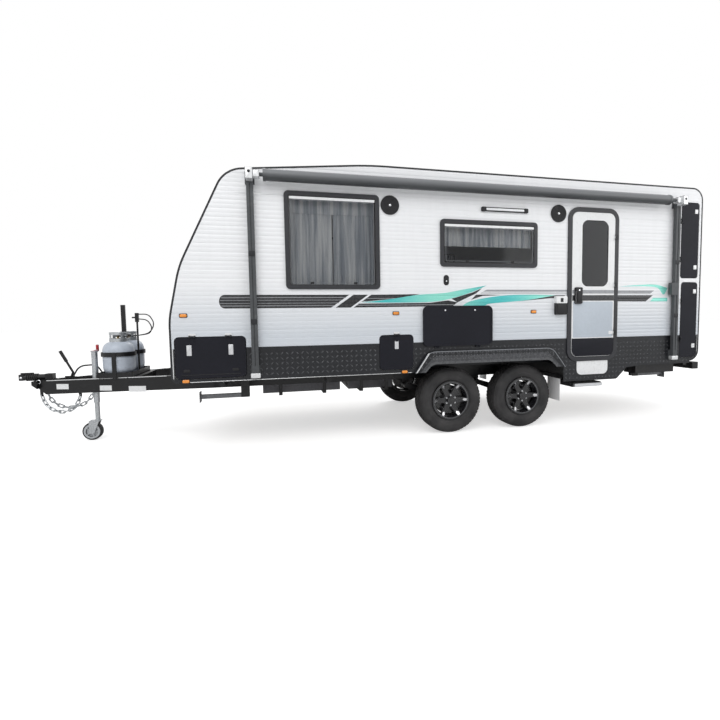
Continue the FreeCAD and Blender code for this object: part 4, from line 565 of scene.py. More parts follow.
def piece(name, data, body, finish, angle=35, bevel=0.0):
    """Makes an object of a mesh, gives it its finish and lets it ride on a body."""
    obj = show(name, data)
    data.materials.clear()
    data.materials.append(finishes[finish])
    data.shade_smooth()
    data.set_sharp_from_angle(angle=math.radians(angle))
    if bevel:
        modifier = obj.modifiers.new("edge", "BEVEL")
        modifier.width = bevel
        modifier.segments = 2
        modifier.limit_method = "ANGLE"
        modifier.angle_limit = math.radians(40)
    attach(obj, body)
    return obj


def welded(node, join=1e-5):
    """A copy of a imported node's mesh with its split points joined."""
    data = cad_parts[node].data.copy()
    tidy = bmesh.new()
    tidy.from_mesh(data)
    bmesh.ops.remove_doubles(tidy, verts=tidy.verts, dist=join)
    tidy.to_mesh(data)
    tidy.free()
    return data


def islands(node):
    """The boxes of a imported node's separate solids, as (lo, hi) corners."""
    loose = bmesh.new()
    loose.from_mesh(welded(node))
    boxes = []
    seen = set()
    for first in loose.verts:
        if first in seen:
            continue
        seen.add(first)
        stack, found = [first], []
        while stack:
            vert = stack.pop()
            found.append(vert.co)
            for edge in vert.link_edges:
                other = edge.other_vert(vert)
                if other not in seen:
                    seen.add(other)
                    stack.append(other)
        boxes.append(tuple(Vector([end(co[i] for co in found) for i in range(3)]) for end in (min, max)))
    loose.free()
    return boxes


def sited(node):
    """Each solid's box, its side, its reach from the body's front and how far out of the wall it stands."""
    for lo, hi in islands(node):
        side = NEAR if lo.y < mid_y else FAR
        out = mid_y - half - lo.y if side == NEAR else hi.y - mid_y - half
        yield lo, hi, side, lo.x - front_x, hi.x - front_x, out


trees = {}


def tree_of(*nodes):
    """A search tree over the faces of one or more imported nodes."""
    if nodes not in trees:
        joined = bmesh.new()
        for node in nodes:
            joined.from_mesh(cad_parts[node].data)
        trees[nodes] = BVHTree.FromBMesh(joined)
        joined.free()
    return trees[nodes]


def face_out(node, x, z, side=NEAR):
    """How far out of the side wall's plane a node's outer face lies at a point."""
    hit = tree_of(node).ray_cast(at(x, 1.0, z, side), Vector((0, -side, 0)))[0]
    return side * (hit.y - mid_y) - half


def middle_face(node, side=NEAR):
    """How far out a node's face lies at the middle of its box, and the box's reach and heights."""
    lo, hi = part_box(node)
    x0, x1 = lo.x - front_x, hi.x - front_x
    return face_out(node, (x0 + x1) / 2, (lo.z + hi.z) / 2, side), x0, x1, lo.z, hi.z


def face_span(node, out, side=NEAR, slack=0.0008):
    """The reach in x and z of the points that lie in a node's outer face."""
    plane = mid_y + side * (half + out)
    found = [v.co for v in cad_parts[node].data.vertices if abs(v.co.y - plane) < slack]
    xs = [co.x - front_x for co in found]
    zs = [co.z for co in found]
    return min(xs), max(xs), min(zs), max(zs)


def cut_out(data, *solids):
    """The mesh kept only inside every one of the solids."""
    scratch = show("scratch", data)
    cutters = []
    for solid in solids:
        cutters.append(show("cutter", solid))
        modifier = scratch.modifiers.new("cut", "BOOLEAN")
        modifier.operation = "INTERSECT"
        modifier.solver = "EXACT"
        modifier.object = cutters[-1]
    bpy.context.view_layer.update()
    graph = bpy.context.evaluated_depsgraph_get()
    result = bpy.data.meshes.new_from_object(scratch.evaluated_get(graph))
    for obj in [scratch] + cutters:
        bpy.data.objects.remove(obj)
    return result


# Cladding boards of the side walls

board_pitch = 0.083
board_crown = 0.0035
board_groove = 0.0008
board_profile_shares = (
    (0.0, 0.0), (0.05, 0.72), (0.30, 1.0), (0.46, 0.94), (0.50, 0.55), (0.54, 0.94), (0.78, 1.0),
    (0.95, 0.80),
)
cladding_back = 0.0006
cladding_over = 0.02
cutter_shift = 0.021


def board_levels(low, high):
    """(height, standing out) pairs down the face of the boards."""
    first = math.floor((low - skirt_top) / board_pitch)
    last = math.ceil((high - skirt_top) / board_pitch)
    levels = []
    for i in range(first, last):
        for share, rise in board_profile_shares:
            z = skirt_top + (i + share) * board_pitch
            levels.append((z, board_groove + (board_crown - board_groove) * rise))
    return levels + [(skirt_top + last * board_pitch, board_groove)]


def board_sheet(x0, x1, low, high, side, lift=0.0, back=-cladding_back):
    """A closed ribbed sheet, its ribs running along the vehicle."""
    levels = board_levels(low, high)
    outline = [(levels[0][0], back)] + [(z, out + lift) for z, out in levels] + [(levels[-1][0], back)]
    batch = Batch()
    batch.rings([[at(x, out, z, side) for z, out in outline] for x in (x0, x1)])
    return batch.mesh("sheet")


def wall_cutter(side):
    """The side wall's own outline and openings, moved out over the face."""
    data = welded("left_wall" if side == NEAR else "right_wall")
    data.transform(Matrix.Translation((0, side * cutter_shift, 0)))
    return data


def make_cladding():
    for side, name in SIDES.items():
        sheet = board_sheet(-cladding_over, body_length + cladding_over, skirt_top, roof_z, side)
        data = cut_out(sheet, wall_cutter(side))
        piece(f"cladding_{name}", data, "body", "cladding", angle=20)


make_cladding()


# Stripes and swooshes, each laid over the boards

decal_lift = 0.0005
decal_margin = 0.01
decal_cut = (-0.01, 0.02)
band_low, band_top = 1.430, 1.561
band_front = 0.448
band_round = 0.05
band_slant = ((1.52, band_low), (1.709, band_top))


def decal(name, outline, finish, lift=1):
    """A flat shape of (x, z) points pressed over the boards of both walls."""
    xs, zs = zip(*outline)
    for side, label in SIDES.items():
        prism = Batch()
        prism.side_slab(outline, *decal_cut, side)
        sheet = board_sheet(
            min(xs) - decal_margin, max(xs) + decal_margin, min(zs), max(zs), side,
            lift * decal_lift, decal_lift / 2,
        )
        data = cut_out(sheet, prism.mesh("prism"), wall_cutter(side))
        piece(f"{name}_{label}", data, "body", finish, angle=20)


def band_outline(steps=8):
    """The black band up to the first slash, with its rounded front end."""
    middle = (band_top + band_low) / 2
    tall = (band_top - band_low) / 2
    points = list(band_slant)
    for i in range(steps + 1):
        angle = math.radians(90 + 180 * i / steps)
        x = band_front + band_round + band_round * math.cos(angle)
        points.append((x, middle + tall * math.sin(angle)))
    return points


def box_outline(low, high, x0, x1):
    return [(x0, low), (x1, low), (x1, high), (x0, high)]


def swoosh(top, bottom):
    """A leaf between two smooth lines that share their ends."""
    return [tuple(p) for p in smooth_line(top) + smooth_line(bottom)[1:-1]]


band_lines = (
    (1.530, 1.536, 0.470, 1.675), (1.506, 1.511, 0.455, 1.640), (1.476, 1.481, 0.455, 1.598),
    (1.450, 1.455, 0.470, 1.560), (1.450, 1.456, 1.785, 2.86), (1.490, 1.494, 1.842, 1.90),
    (1.520, 1.525, 1.888, 2.20),
)
decals = (
    ("band_front", band_outline(), "decal_black", 1),
    ("band_middle", [(1.565, band_low), (1.720, band_low), (1.907, band_top), (1.752, band_top)],
     "decal_black", 1),
    ("band_upper", [(1.833, 1.487), (1.939, band_top), (2.47, 1.567), (2.20, 1.520)], "decal_black", 1),
    ("band_lower", [
        (1.752, band_low), (2.84, 1.437), (2.90, 1.478), (2.79, 1.500), (2.58, 1.474), (1.809, 1.470),
    ], "decal_black", 1),
    *((f"band_line_{i}", box_outline(*line), "decal_grey", 2) for i, line in enumerate(band_lines)),
    ("swoosh_front", swoosh(
        [(1.837, 1.482), (2.143, 1.515), (2.442, 1.559), (2.749, 1.580), (2.968, 1.617), (3.246, 1.662)],
        [(3.246, 1.662), (3.067, 1.589), (2.797, 1.513), (2.582, 1.484), (2.20, 1.478), (1.837, 1.482)],
    ), "teal", 3),
    ("swoosh_shade", [(2.83, 1.517), (3.075, 1.585), (3.19, 1.632), (3.12, 1.575), (2.90, 1.478)],
     "decal_black", 2),
    ("wedge", [(3.06, 1.505), (3.20, 1.548), (3.44, 1.556), (3.24, 1.562), (3.12, 1.560)], "decal_black", 2),
    ("swoosh_rear", swoosh(
        [(2.942, 1.429), (3.067, 1.493), (3.420, 1.548), (3.80, 1.560), (4.108, 1.553)],
        [(4.108, 1.553), (3.733, 1.497), (3.292, 1.462), (3.217, 1.441), (2.942, 1.429)],
    ), "teal", 3),
    ("tail_dark", [
        (3.62, 1.484), (4.05, 1.520), (4.24, 1.520), (4.24, 1.553), (4.12, 1.553), (3.733, 1.497),
    ], "decal_black", 2),
    ("line_upper", [(3.20, 1.594), (4.27, 1.594), (4.27, 1.616), (3.25, 1.616)], "decal_grey", 1),
    ("line_lower", [(3.17, 1.574), (4.27, 1.574), (4.27, 1.584), (3.185, 1.584)], "decal_grey", 1),
    ("line_rear", [(4.95, 1.572), (5.44, 1.572), (5.50, 1.610), (4.95, 1.610)], "decal_grey", 1),
    ("band_rear", [(4.95, 1.480), (5.375, 1.476), (5.482, 1.552), (4.95, 1.552)], "decal_black", 1),
    ("swoosh_tail", swoosh(
        [(4.985, 1.657), (5.25, 1.675), (5.508, 1.683), (5.698, 1.641)],
        [(5.698, 1.641), (5.64, 1.560), (5.55, 1.640), (5.37, 1.660), (4.985, 1.657)],
    ), "teal", 2),
    ("patch_tail", [(5.44, 1.476), (5.70, 1.476), (5.70, 1.52), (5.49, 1.52)], "teal", 2),
)
for name, outline, finish, lift in decals:
    decal(name, outline, finish, lift)


# Checker plate: raised lozenges on the skirts and over the wheels

plate_pitch = 0.050
plate_margin = 0.02
end_rows = 9
lozenge_half = 0.0210
lozenge_wide = 0.0075
lozenge_high = 0.0021
lozenge_sunk = 0.0003
lozenge_ridge_share = 0.45
lozenge_room_share = 1.15
flat_within = 0.0002


def lozenge(batch, centre, normal, turned):
    """One raised lozenge, ridged along its length, lying on a plate."""
    across = UP.cross(normal).normalized()
    upward = normal.cross(across).normalized()
    along = (across * (1 if turned else -1) + upward).normalized()
    beside = normal.cross(along)
    foot = centre - normal * lozenge_sunk
    top = centre + normal * lozenge_high
    ridge = along * lozenge_half * lozenge_ridge_share
    verts = [
        foot + along * lozenge_half, foot + beside * lozenge_wide,
        foot - along * lozenge_half, foot - beside * lozenge_wide, top + ridge, top - ridge,
    ]
    batch.add(verts, [(0, 1, 4), (1, 5, 4), (1, 2, 5), (2, 3, 5), (3, 4, 5), (3, 0, 4), (3, 2, 1, 0)])


def lozenges(batch, tree, corner, across, counts, ray):
    """Lozenges wherever a plate lies flat behind a grid of points."""
    reach = lozenge_half * lozenge_room_share
    for i in range(counts[0]):
        for j in range(counts[1]):
            start = corner + across * (i * plate_pitch) - UP * (j * plate_pitch)
            hit, normal = tree.ray_cast(start, ray)[:2]
            if hit is None or abs(normal.dot(ray)) < 0.5:
                continue
            normal = -normal if normal.dot(ray) > 0 else normal
            ends = [start + across * reach, start - across * reach, start - UP * reach, start + UP * reach]
            beside = [tree.ray_cast(end, ray)[0] for end in ends]
            if all(p is not None and abs((p - hit).dot(normal)) <= flat_within for p in beside):
                lozenge(batch, hit, normal, (i + j) % 2)


def make_checker():
    along, rows = int(body_length / plate_pitch), int((skirt_top - skirt_lo.z) / plate_pitch)
    for side, name in SIDES.items():
        batch = Batch()
        corner = at(plate_margin, 0.3, skirt_top - plate_margin, side)
        tree = tree_of("skirts", "wheel_arches")
        lozenges(batch, tree, corner, Vector((1, 0, 0)), (along, rows), Vector((0, -side, 0)))
        batch.finish(f"checker_{name}", "body", "lozenge", "black_checker", angle=10)
    for x, ray, name in ((-0.3, 1, "front"), (body_length + 0.3, -1, "rear")):
        batch = Batch()
        corner = Vector((front_x + x, mid_y - half, skirt_hi.z - plate_margin))
        counts = (int(2 * half / plate_pitch), end_rows)
        lozenges(batch, tree_of("skirts"), corner, Vector((0, 1, 0)), counts, Vector((ray, 0, 0)))
        batch.finish(f"checker_{name}", "body", "lozenge", "black_checker", angle=10)


make_checker()


# Boards over the front and rear faces, and the sill below the rear ones

end_boards = (("front_wall", 1.245, 1, "front"), ("rear_wall", 1.055, -1, "rear"))
end_board_inset = 0.030
end_board_back = 0.0005
sill_inset = 0.028
sill_step = 0.002
sill_skin = 0.004


def end_profile(node, low, high, ray):
    """Points up an end wall's face, as far as it isn't too flat for boards."""
    points = []
    z = low
    while z <= high:
        start = Vector((front_x + (-1.0 if ray > 0 else body_length + 1.0), mid_y, z))
        hit, normal = tree_of(node).ray_cast(start, Vector((ray, 0, 0)))[:2]
        if hit is None or abs(normal.x) < 0.25:
            break
        points.append(hit)
        z += board_pitch / len(board_profile_shares)
    return points


def across_body(batch, ring, inset):
    """A closed form from side to side, of points (x, z)."""
    batch.rings([[Vector((x, y, z)) for x, z in ring] for y in (mid_y - half + inset, mid_y + half - inset)])


def make_end_boards():
    for node, low, ray, name in end_boards:
        points = end_profile(node, low, roof_z - 0.05, ray)
        outer = []
        for k, point in enumerate(points):
            before, after = points[max(k - 1, 0)], points[min(k + 1, len(points) - 1)]
            along = (after - before).normalized()
            normal = Vector((-along.z, 0, along.x)) * ray
            rise = board_profile_shares[k % len(board_profile_shares)][1]
            outer.append(point + normal * rise * board_crown)
        inner = [point + Vector((ray * end_board_back, 0, 0)) for point in points]
        batch = Batch()
        across_body(batch, [(p.x, p.z) for p in outer + inner[::-1]], end_board_inset)
        batch.finish(f"boards_{name}", "body", "cladding", "white_panel", angle=20)


def make_rear_sill(steps=12):
    """The dark band on the rear wall between its foot and the checker plate."""
    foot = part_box("rear_wall")[0].z + sill_step
    behind = front_x + body_length + 1.0
    inward = Vector((-1, 0, 0))
    plate, wall = tree_of("skirts"), tree_of("rear_wall")
    top = foot
    while top < skirt_top:
        hit = plate.ray_cast(Vector((behind, mid_y - half / 2, top)), inward)[0]
        if hit is not None and hit.x > behind - 1.3:
            break
        top += sill_step
    ring = []
    for number in range(steps + 1):
        z = foot + (top + sill_step - foot) * number / steps
        face = wall.ray_cast(Vector((behind, mid_y, z)), inward)[0].x
        ring += [(face - sunk, z), (face + sill_skin, z)]
    sill = Batch()
    across_body(sill, ring, sill_inset)
    sill.finish("rear_sill", "body", "trim")


make_end_boards()
make_rear_sill()


# Windows and curtains

strip_inset = 0.012
strip_drops = (0.040, 0.014)
seal_ring = (0.0, 0.0, 0.008, 0.006, 0.004, 0.0022)
# A lighter grey ring of painted highlight round each pane's edge
highlight_ring = (0.022, 0.024, 0.004, 0.012, 0.010, 0.0008)
catch_shares = (0.25, 0.75)
catch_half = 0.018
catch_rises = (0.012, 0.034)


def make_window_trim():
    white, black, seal, edge = Batch(), Batch(), Batch(), Batch()
    for lo, hi, side, x0, x1, out in sited("window_panes"):
        span = (x0 + strip_inset, x1 - strip_inset, hi.z - strip_drops[0], hi.z - strip_drops[1])
        white.plate(span, 0.004, out, 0.004, 0.002, side)
        for batch, sizes in ((seal, seal_ring), (edge, highlight_ring)):
            inset, drop, wide, outer_r, inner_r, proud = sizes
            span = (x0 + inset, x1 - inset, lo.z + inset, hi.z - inset - drop)
            hole = rounded(*grown(span, -wide), inner_r)
            batch.side_ring(rounded(*span, outer_r), hole, out - sunk, out + proud, side)
        for share in catch_shares:
            x = x0 + (x1 - x0) * share
            span = (x - catch_half, x + catch_half, lo.z + catch_rises[0], lo.z + catch_rises[1])
            black.plate(span, 0.004, out, 0.006, 0.002, side)
    white.finish("window_strips", "body", "decal_white", "white_panel")
    black.finish("window_catches", "body", "plastic")
    seal.finish("window_seals", "body", "rubber")
    # painted highlight round each pane's edge
    edge.finish("window_edge_highlights", "body", "edge_highlight")


pleat_rows = 9
pleat_steps = 6
pleat_first = 0.04
pleat_widths = (0.030, 0.055)
pleat_swell_shares = (0.75, 1.15)
pleat_depth = 0.0045
cloth_half = 0.0008
curtain_gap = 0.004
curtain_part = 0.006
wall_thick = 0.040
pelmet_drop = 0.165
pelmet_skin = 0.0030
pelmet_clear = 0.0005
rail_drop = 0.010
rail_r = 0.007
tall_window = 0.6
middle_curtain_in = 0.048
middle_curtain_rise = 0.19


def pleats(batch, x0, x1, z0, z1, y, seed):
    """A hanging curtain with folds of uneven width; returns the width of cloth in its folds."""
    rand = random.Random(seed)
    line = []
    x, phase, width = x0, 0.0, pleat_first
    while x < x1:
        line.append((x, phase, rand.uniform(*pleat_swell_shares)))
        phase += 2 * math.pi / pleat_steps
        if phase % (2 * math.pi) < 0.1:
            width = rand.uniform(*pleat_widths)
        x += width / pleat_steps
    front, back = [], []
    for r in range(pleat_rows):
        share = r / (pleat_rows - 1)
        depth = pleat_depth * (2 - share)
        for x, phase, swell in line:
            offset = depth * swell * math.sin(phase + 0.25 * math.sin(3 * share + x * 5))
            for sheet, face in ((front, -cloth_half), (back, cloth_half)):
                sheet.append(Vector((front_x + x, y + offset + face, z0 + (z1 - z0) * share)))
    count, half_way = len(line), len(front)
    faces = []
    for r in range(pleat_rows - 1):
        for a in range(r * count, (r + 1) * count - 1):
            faces.append((a, a + 1, a + count + 1, a + count))
            faces.append((half_way + a, half_way + a + count, half_way + a + count + 1, half_way + a + 1))
    top = (pleat_rows - 1) * count
    border = list(range(count)) + [r * count + count - 1 for r in range(1, pleat_rows)]
    border += list(range(top + count - 2, top - 1, -1)) + [r * count for r in range(pleat_rows - 2, 0, -1)]
    for a, b in zip(border, border[1:] + border[:1]):
        faces.append((a, half_way + a, half_way + b, b))
    batch.add(front + back, faces)
    lengths = [(b - a).length for a, b in zip(front, front[1:])]
    return sum(sum(lengths[r * count:(r + 1) * count - 1]) for r in range(pleat_rows)) / pleat_rows


def hang_curtain(name, x0, x1, z0, z1, y, seed):
    """One curtain; the width of cloth that its folds take up is worked out but not used."""
    batch = Batch()
    width = pleats(batch, x0, x1, z0, z1, y, seed)
    curtain = batch.finish(name, "body", "cloth", "curtain_cloth", angle=60)
    return curtain


def make_curtains():
    pelmets, rails = Batch(), Batch()
    for seed, (lo, hi, side, x0, x1, _) in enumerate(sited("curtains")):
        y = (lo.y + hi.y) / 2
        middle = (x0 + x1) / 2
        x0, x1 = x0 + curtain_gap, x1 - curtain_gap
        for end, a, b, number in (
            ("front", x0, middle - curtain_part, seed), ("rear", middle + curtain_part, x1, seed + 20),
        ):
            curtain = hang_curtain(
                f"curtain_{end}_{SIDES[side]}", a, b, lo.z + curtain_gap, hi.z - pelmet_drop + curtain_gap,
                y, number,
            )
            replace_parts(curtain, "curtains")
        face = -wall_thick - pelmet_clear
        span = (x0, x1, hi.z - pelmet_drop, hi.z - 0.018)
        pelmets.side_pillow(span, 0.006, face - pelmet_skin, face, 0.001, side)
        rails.rod((lo.x, y, hi.z - rail_drop), (hi.x, y, hi.z - rail_drop), rail_r)
    for seed, (lo, hi, side, x0, x1, _) in enumerate(sited("window_panes")):
        if hi.z - lo.z < tall_window:
            hang_curtain(
                f"curtain_middle_{SIDES[side]}", x0 + curtain_gap, x1 - curtain_gap,
                lo.z + middle_curtain_rise, hi.z - curtain_gap, mid_y + side * (half - middle_curtain_in),
                seed + 40,
            )
    pelmets.finish("pelmets", "body", "cloth", "curtain_cloth", angle=60)
    rails.finish("curtain_rails", "body", "aluminium")


# Entry door

door_panel_inset = 0.018
door_panel_z = (1.056, 1.478)
kick_inset = 0.003
kick_top = 1.046
kick_low_r = 0.074
door_stripe_inset = 0.004
door_stripes = (("door_band", "decal_black", 1.488, 1.553), ("door_line", "decal_grey", 1.572, 1.613))
door_stripe_skin = 0.0010
door_seal_out, door_seal_in = 0.014, 0.006
door_seal_proud = 0.0025
blank_plate_span = (4.41, 4.84, 0.612, 0.817)
latch_span = (4.3565, 4.4535, 1.4510, 1.6440)
latch_proud = 0.0275
paddle_insets = (0.020, 0.020, 0.028, 0.062)
barrel_drop = 0.034
door_pin_x = 4.9052
door_pin_heights = (1.108, 1.672, 2.235)
knuckle_r = 0.0085
sleeve_half = 0.0148
sleeve_skin = 0.0006


def make_door():
    pane_lo, pane_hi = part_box("door_glass")
    skin = face_out("entry_door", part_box("entry_door")[0].x - front_x + 0.06, 1.2)
    x0, x1, z0, _ = face_span("entry_door", skin)
    panel, kick = Batch(), Batch()
    panel.plate((x0 + door_panel_inset, x1 - door_panel_inset, *door_panel_z), 0.012, skin, 0.0016, 0.0012)
    panel.finish("door_lower_panel", "entry_door", "door_grey", "white_panel")
    span = (x0 + kick_inset, x1 - kick_inset, z0 + kick_inset, kick_top)
    kick.plate(span, 0.006, skin, 0.0022, 0.0012, low=kick_low_r)
    kick.finish("door_kick_panel", "entry_door", "panel", "black_panel")
    for name, finish, low, high in door_stripes:
        stripe = Batch()
        outline = box_outline(low, high, x0 + door_stripe_inset, x1 - door_stripe_inset)
        stripe.side_slab(outline, skin - sunk, skin + door_stripe_skin)
        stripe.finish(name, "entry_door", finish)
    seal = Batch()
    pane = (pane_lo.x - front_x, pane_hi.x - front_x, pane_lo.z, pane_hi.z)
    seal.side_ring(
        rounded(*grown(pane, door_seal_out), 0.062), rounded(*grown(pane, -door_seal_in), 0.044),
        skin - sunk, mid_y - half - pane_lo.y + door_seal_proud,
    )
    seal.finish("door_glass_seal", "entry_door", "rubber")
    make_door_handle(skin)
    make_door_hinge_covers()
    plate = Batch()
    plate.plate(blank_plate_span, 0.064, face_out("skirts", 4.60, 0.70), 0.004, 0.003)
    plate.finish("blank_plate", "body", "decal_white")


def make_door_handle(skin):
    """The black latch case over the handle, with its paddle and lock barrel."""
    x0, x1, z0, z1 = latch_span
    left, right, foot, head = paddle_insets
    face = skin + latch_proud
    case, barrel = Batch(), Batch()
    case.plate(latch_span, 0.016, skin, latch_proud, 0.009)
    case.side_pillow((x0 + left, x1 - right, z0 + foot, z1 - head), 0.010, face - 0.002, face + 0.007, 0.004)
    case.finish("door_latch_case", "entry_door", "plastic", "black_plastic")
    x, z = (x0 + x1) / 2, z1 - barrel_drop
    barrel.rod(at(x, face - sunk, z), at(x, face + 0.003, z), 0.0095, 24)
    barrel.finish("door_lock_barrel", "entry_door", "bright", "bright_steel", bevel=0.0008)


def make_door_hinge_covers():
    """Dark sleeves on the door's hinge knuckles, which ride with the door."""
    covers = Batch()
    for height in door_pin_heights:
        hit = tree_of("entry_door").ray_cast(at(door_pin_x, 0.5, height), Vector((0, 1, 0)))[0]
        ends = [Vector((hit.x, hit.y + knuckle_r, height + rise)) for rise in (-sleeve_half, sleeve_half)]
        covers.rod(*ends, knuckle_r + sleeve_skin, 24)
    covers.finish("door_hinge_sleeves", "entry_door", "trim")


make_window_trim()
make_curtains()
make_door()


# Hardware on the lids: latches, plates and lips

screw_plate_z = 1.034
boot_plate_xs = (0.165, 0.541)
boot_plate = (0.022, 0.050)
hatch_plate = (0.021, 0.046)
screw_shares = (0.56, 0.72)
locker_latches = {"locker_door_upper": (2.590, 1.901), "locker_door_lower": (1.600, 0.914)}
locker_latch_in = 0.042
stud_shares = (0.31, 0.74)
stud_drop = 0.049


def plate_with_screws(batch, x, size, out, side=NEAR):
    """A bright plate of half sizes (wide, tall) with a screw near each corner."""
    wide, tall = size
    batch.pad(x, screw_plate_z, wide, tall, 0.005, out, 0.003, 0.0015, side)
    for i in (-1, 1):
        for j in (-1, 1):
            z = screw_plate_z + j * tall * screw_shares[1]
            place = at(x + i * wide * screw_shares[0], out + 0.003, z, side)
            batch.dome(place, (0, side, 0), 0.0035, 0.0016, sides=8, rings=2)


def make_lid_hardware():
    for node, side in (("boot_door_left", NEAR), ("boot_door_right", FAR)):
        out, x0, x1, low, _ = middle_face(node, side)
        bright, lip = Batch(), Batch()
        for x in boot_plate_xs:
            plate_with_screws(bright, x, boot_plate, out, side)
        bright.finish(f"{node}_plates", node, "bright", "bright_steel")
        lip.plate((x0 + 0.05, x1 - 0.05, low + 0.030, low + 0.038), 0.0035, out, 0.003, 0.0015, side)
        for x in (x0 + 0.10, x1 - 0.10):
            lip.pad(x, low + 0.074, 0.03, 0.014, 0.008, out, 0.006, 0.003, side)
        lip.finish(f"{node}_lip", node, "plastic")
    out, x0, x1, _, _ = middle_face("service_hatch")
    bright = Batch()
    plate_with_screws(bright, (x0 + x1) / 2, hatch_plate, out)
    bright.finish("service_hatch_plate", "service_hatch", "bright", "bright_steel")
    for node, heights in locker_latches.items():
        out, _, x1, _, _ = middle_face(node)
        x = x1 - locker_latch_in
        latch, barrel = Batch(), Batch()
        for z in heights:
            latch.pad(x, z, 0.022, 0.026, 0.006, out, 0.006, 0.002)
            barrel.rod(at(x, out + 0.004, z), at(x, out + 0.009, z), 0.009, 20)
        latch.finish(f"{node}_latches", node, "decal_white", "white_panel")
        barrel.finish(f"{node}_barrels", node, "bright", "bright_steel", bevel=0.001)
    out, x0, x1, _, high = middle_face("picnic_table")
    studs = Batch()
    for share in stud_shares:
        place = at(x0 + (x1 - x0) * share, out - 0.0005, high - stud_drop)
        studs.dome(place, (0, -1, 0), 0.010, 0.005, 16, 4)
    studs.finish("table_studs", "picnic_table", "bright", "bright_steel")


make_lid_hardware()


# Side fittings: lamps, speakers, outlet box, lamp bar, vents

tail_lamp_tall = 0.08
tail_base = 0.014
tail_inset = 0.006
speaker_ring_rs = (0.034, 0.050, 0.066, 0.080)
speaker_ring_half = 0.0045
speaker_rib = (0.020, 0.084)
vent_margin = 0.03
strip_span = (5.829, 5.861, 1.042, 1.548)
strip_reflector_span = (5.831, 5.859, 1.336, 1.384)
side_port = (2.769, 1.717)
side_port_knob_z = 1.705


def make_lamps():
    amber, red, base = Batch(), Batch(), Batch()
    for lo, hi, side, x0, x1, outer in sited("lamps"):
        if hi.z - lo.z > tail_lamp_tall:
            y0, y1, middle = lo.y + tail_inset, hi.y - tail_inset, (lo.z + hi.z) / 2
            face = lo.x + tail_base - sunk
            base.block(lo, (lo.x + tail_base, hi.y, hi.z))
            red.block((face, y0, middle), (hi.x, y1, hi.z - tail_inset))
            amber.block((face, y0, lo.z + tail_inset), (hi.x, y1, middle - 0.003))
            continue
        inner = outer - (hi.y - lo.y)
        base.side_pillow((x0 - 0.006, x1 + 0.006, lo.z - 0.005, hi.z + 0.005), 0.012, inner, inner + 0.008,
                         0.002, side)
        lens = red if hi.z < 0.8 and x1 > body_length - 0.6 else amber
        lens.side_pillow((x0, x1, lo.z, hi.z), 0.012, inner + 0.006, outer + 0.002, 0.008, side)
    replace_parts(amber.finish("amber_lenses", "body", "amber", "lamp_lens"), "lamps")
    red.finish("red_lenses", "body", "red", "lamp_lens", bevel=0.002)
    base.finish("lamp_bases", "body", "plastic")


def make_speaker(dark, bright, x, out, z):
    """Grille rings and ribs on a speaker's face, and its bright middle."""
    for r in speaker_ring_rs:
        inner, outer = r - speaker_ring_half, r + speaker_ring_half
        profile = [(inner, -sunk), (inner, 0.0016), (outer, 0.0030), (outer, -sunk)]
        dark.lathe(profile, at(x, out, z), (0, -1, 0), 48)
    for k in range(8):
        c, s = math.cos(math.pi * k / 4), math.sin(math.pi * k / 4)
        dark.rod(*(at(x + r * c, out + 0.001, z + r * s) for r in speaker_rib), 0.0028, 8)
    bright.dome(at(x, out, z), (0, -1, 0), 0.015, 0.009, 24, 5)


def make_side_fittings():
    dark, bright, pale, clear, amber = Batch(), Batch(), Batch(), Batch(), Batch()
    for lo, hi, side, x0, x1, out in sited("side_fittings"):
        x, z = (x0 + x1) / 2, (lo.z + hi.z) / 2
        wide, tall = x1 - x0, hi.z - lo.z
        if side == FAR:
            for k in range(8):
                low = lo.z + vent_margin + k * (tall - 2 * vent_margin) / 8
                span = (x0 + vent_margin, x1 - vent_margin, low, low + 0.014)
                dark.plate(span, 0.005, out, 0.004, 0.002, side)
        elif abs(wide - tall) < 0.02:
            make_speaker(dark, bright, x, out, z)
        elif wide > 0.4:
            clear.plate((x0 + 0.045, x1 - 0.045, z - 0.013, z + 0.013), 0.010, out, 0.005, 0.004)
            for end in (x0 + 0.018, x1 - 0.018):
                span = (end - 0.026, end + 0.026, lo.z - 0.003, hi.z + 0.003)
                dark.side_pillow(span, 0.012, 0.0, out + 0.003, 0.005)
        else:
            lid = (x0 - 0.004, x1 + 0.004, hi.z - 0.078, hi.z + 0.004)
            pale.side_pillow(lid, 0.012, 0.0, out + 0.005, 0.005)
            dark.plate((x0 + 0.012, x1 - 0.012, lo.z + 0.015, hi.z - 0.086), 0.010, out, 0.004, 0.003)
            catch = (x - 0.018, x + 0.018, hi.z - 0.064, hi.z - 0.018)
            dark.side_pillow(catch, 0.006, out + 0.003, out + 0.008, 0.002)
    pale.side_pillow(strip_span, 0.006, 0.0, 0.0065, 0.002)
    amber.side_pillow(strip_reflector_span, 0.005, 0.0055, 0.0085, 0.002)
    amber.finish("strip_reflector", "body", "amber", "lamp_lens")
    x, z = side_port
    dark.side_pillow((x - 0.030, x + 0.030, z - 0.055, z + 0.055), 0.029, 0.0, 0.012, 0.006)
    bright.dome(at(x, 0.012, side_port_knob_z), (0, -1, 0), 0.008, 0.004, 16, 4)
    dark.finish("fitting_details", "body", "plastic", "black_plastic")
    bright.finish("fitting_bright", "body", "bright", "bright_steel")
    pale.finish("outlet_lid", "body", "decal_white")
    clear.finish("lamp_bar_lens", "body", "clear")


make_lamps()
make_side_fittings()


# Roof: grille slots and gasket of the cooler, seals and domes of the hatches

slot_rows = 5
slot_rise = 0.050
slot_tall = 0.011
slot_pitch = 0.024
side_slots = ((0.50, 0.66), (0.68, 0.84))
rear_slot = (0.13, 0.32)
gasket_wide = 0.008
hatch_corner_r = 0.045
hatch_rings = (
    (0.0, -0.014), (-0.004, -0.010), (-0.004, 0.000), (0.010, 0.008), (0.070, 0.020), (0.130, 0.024),
)


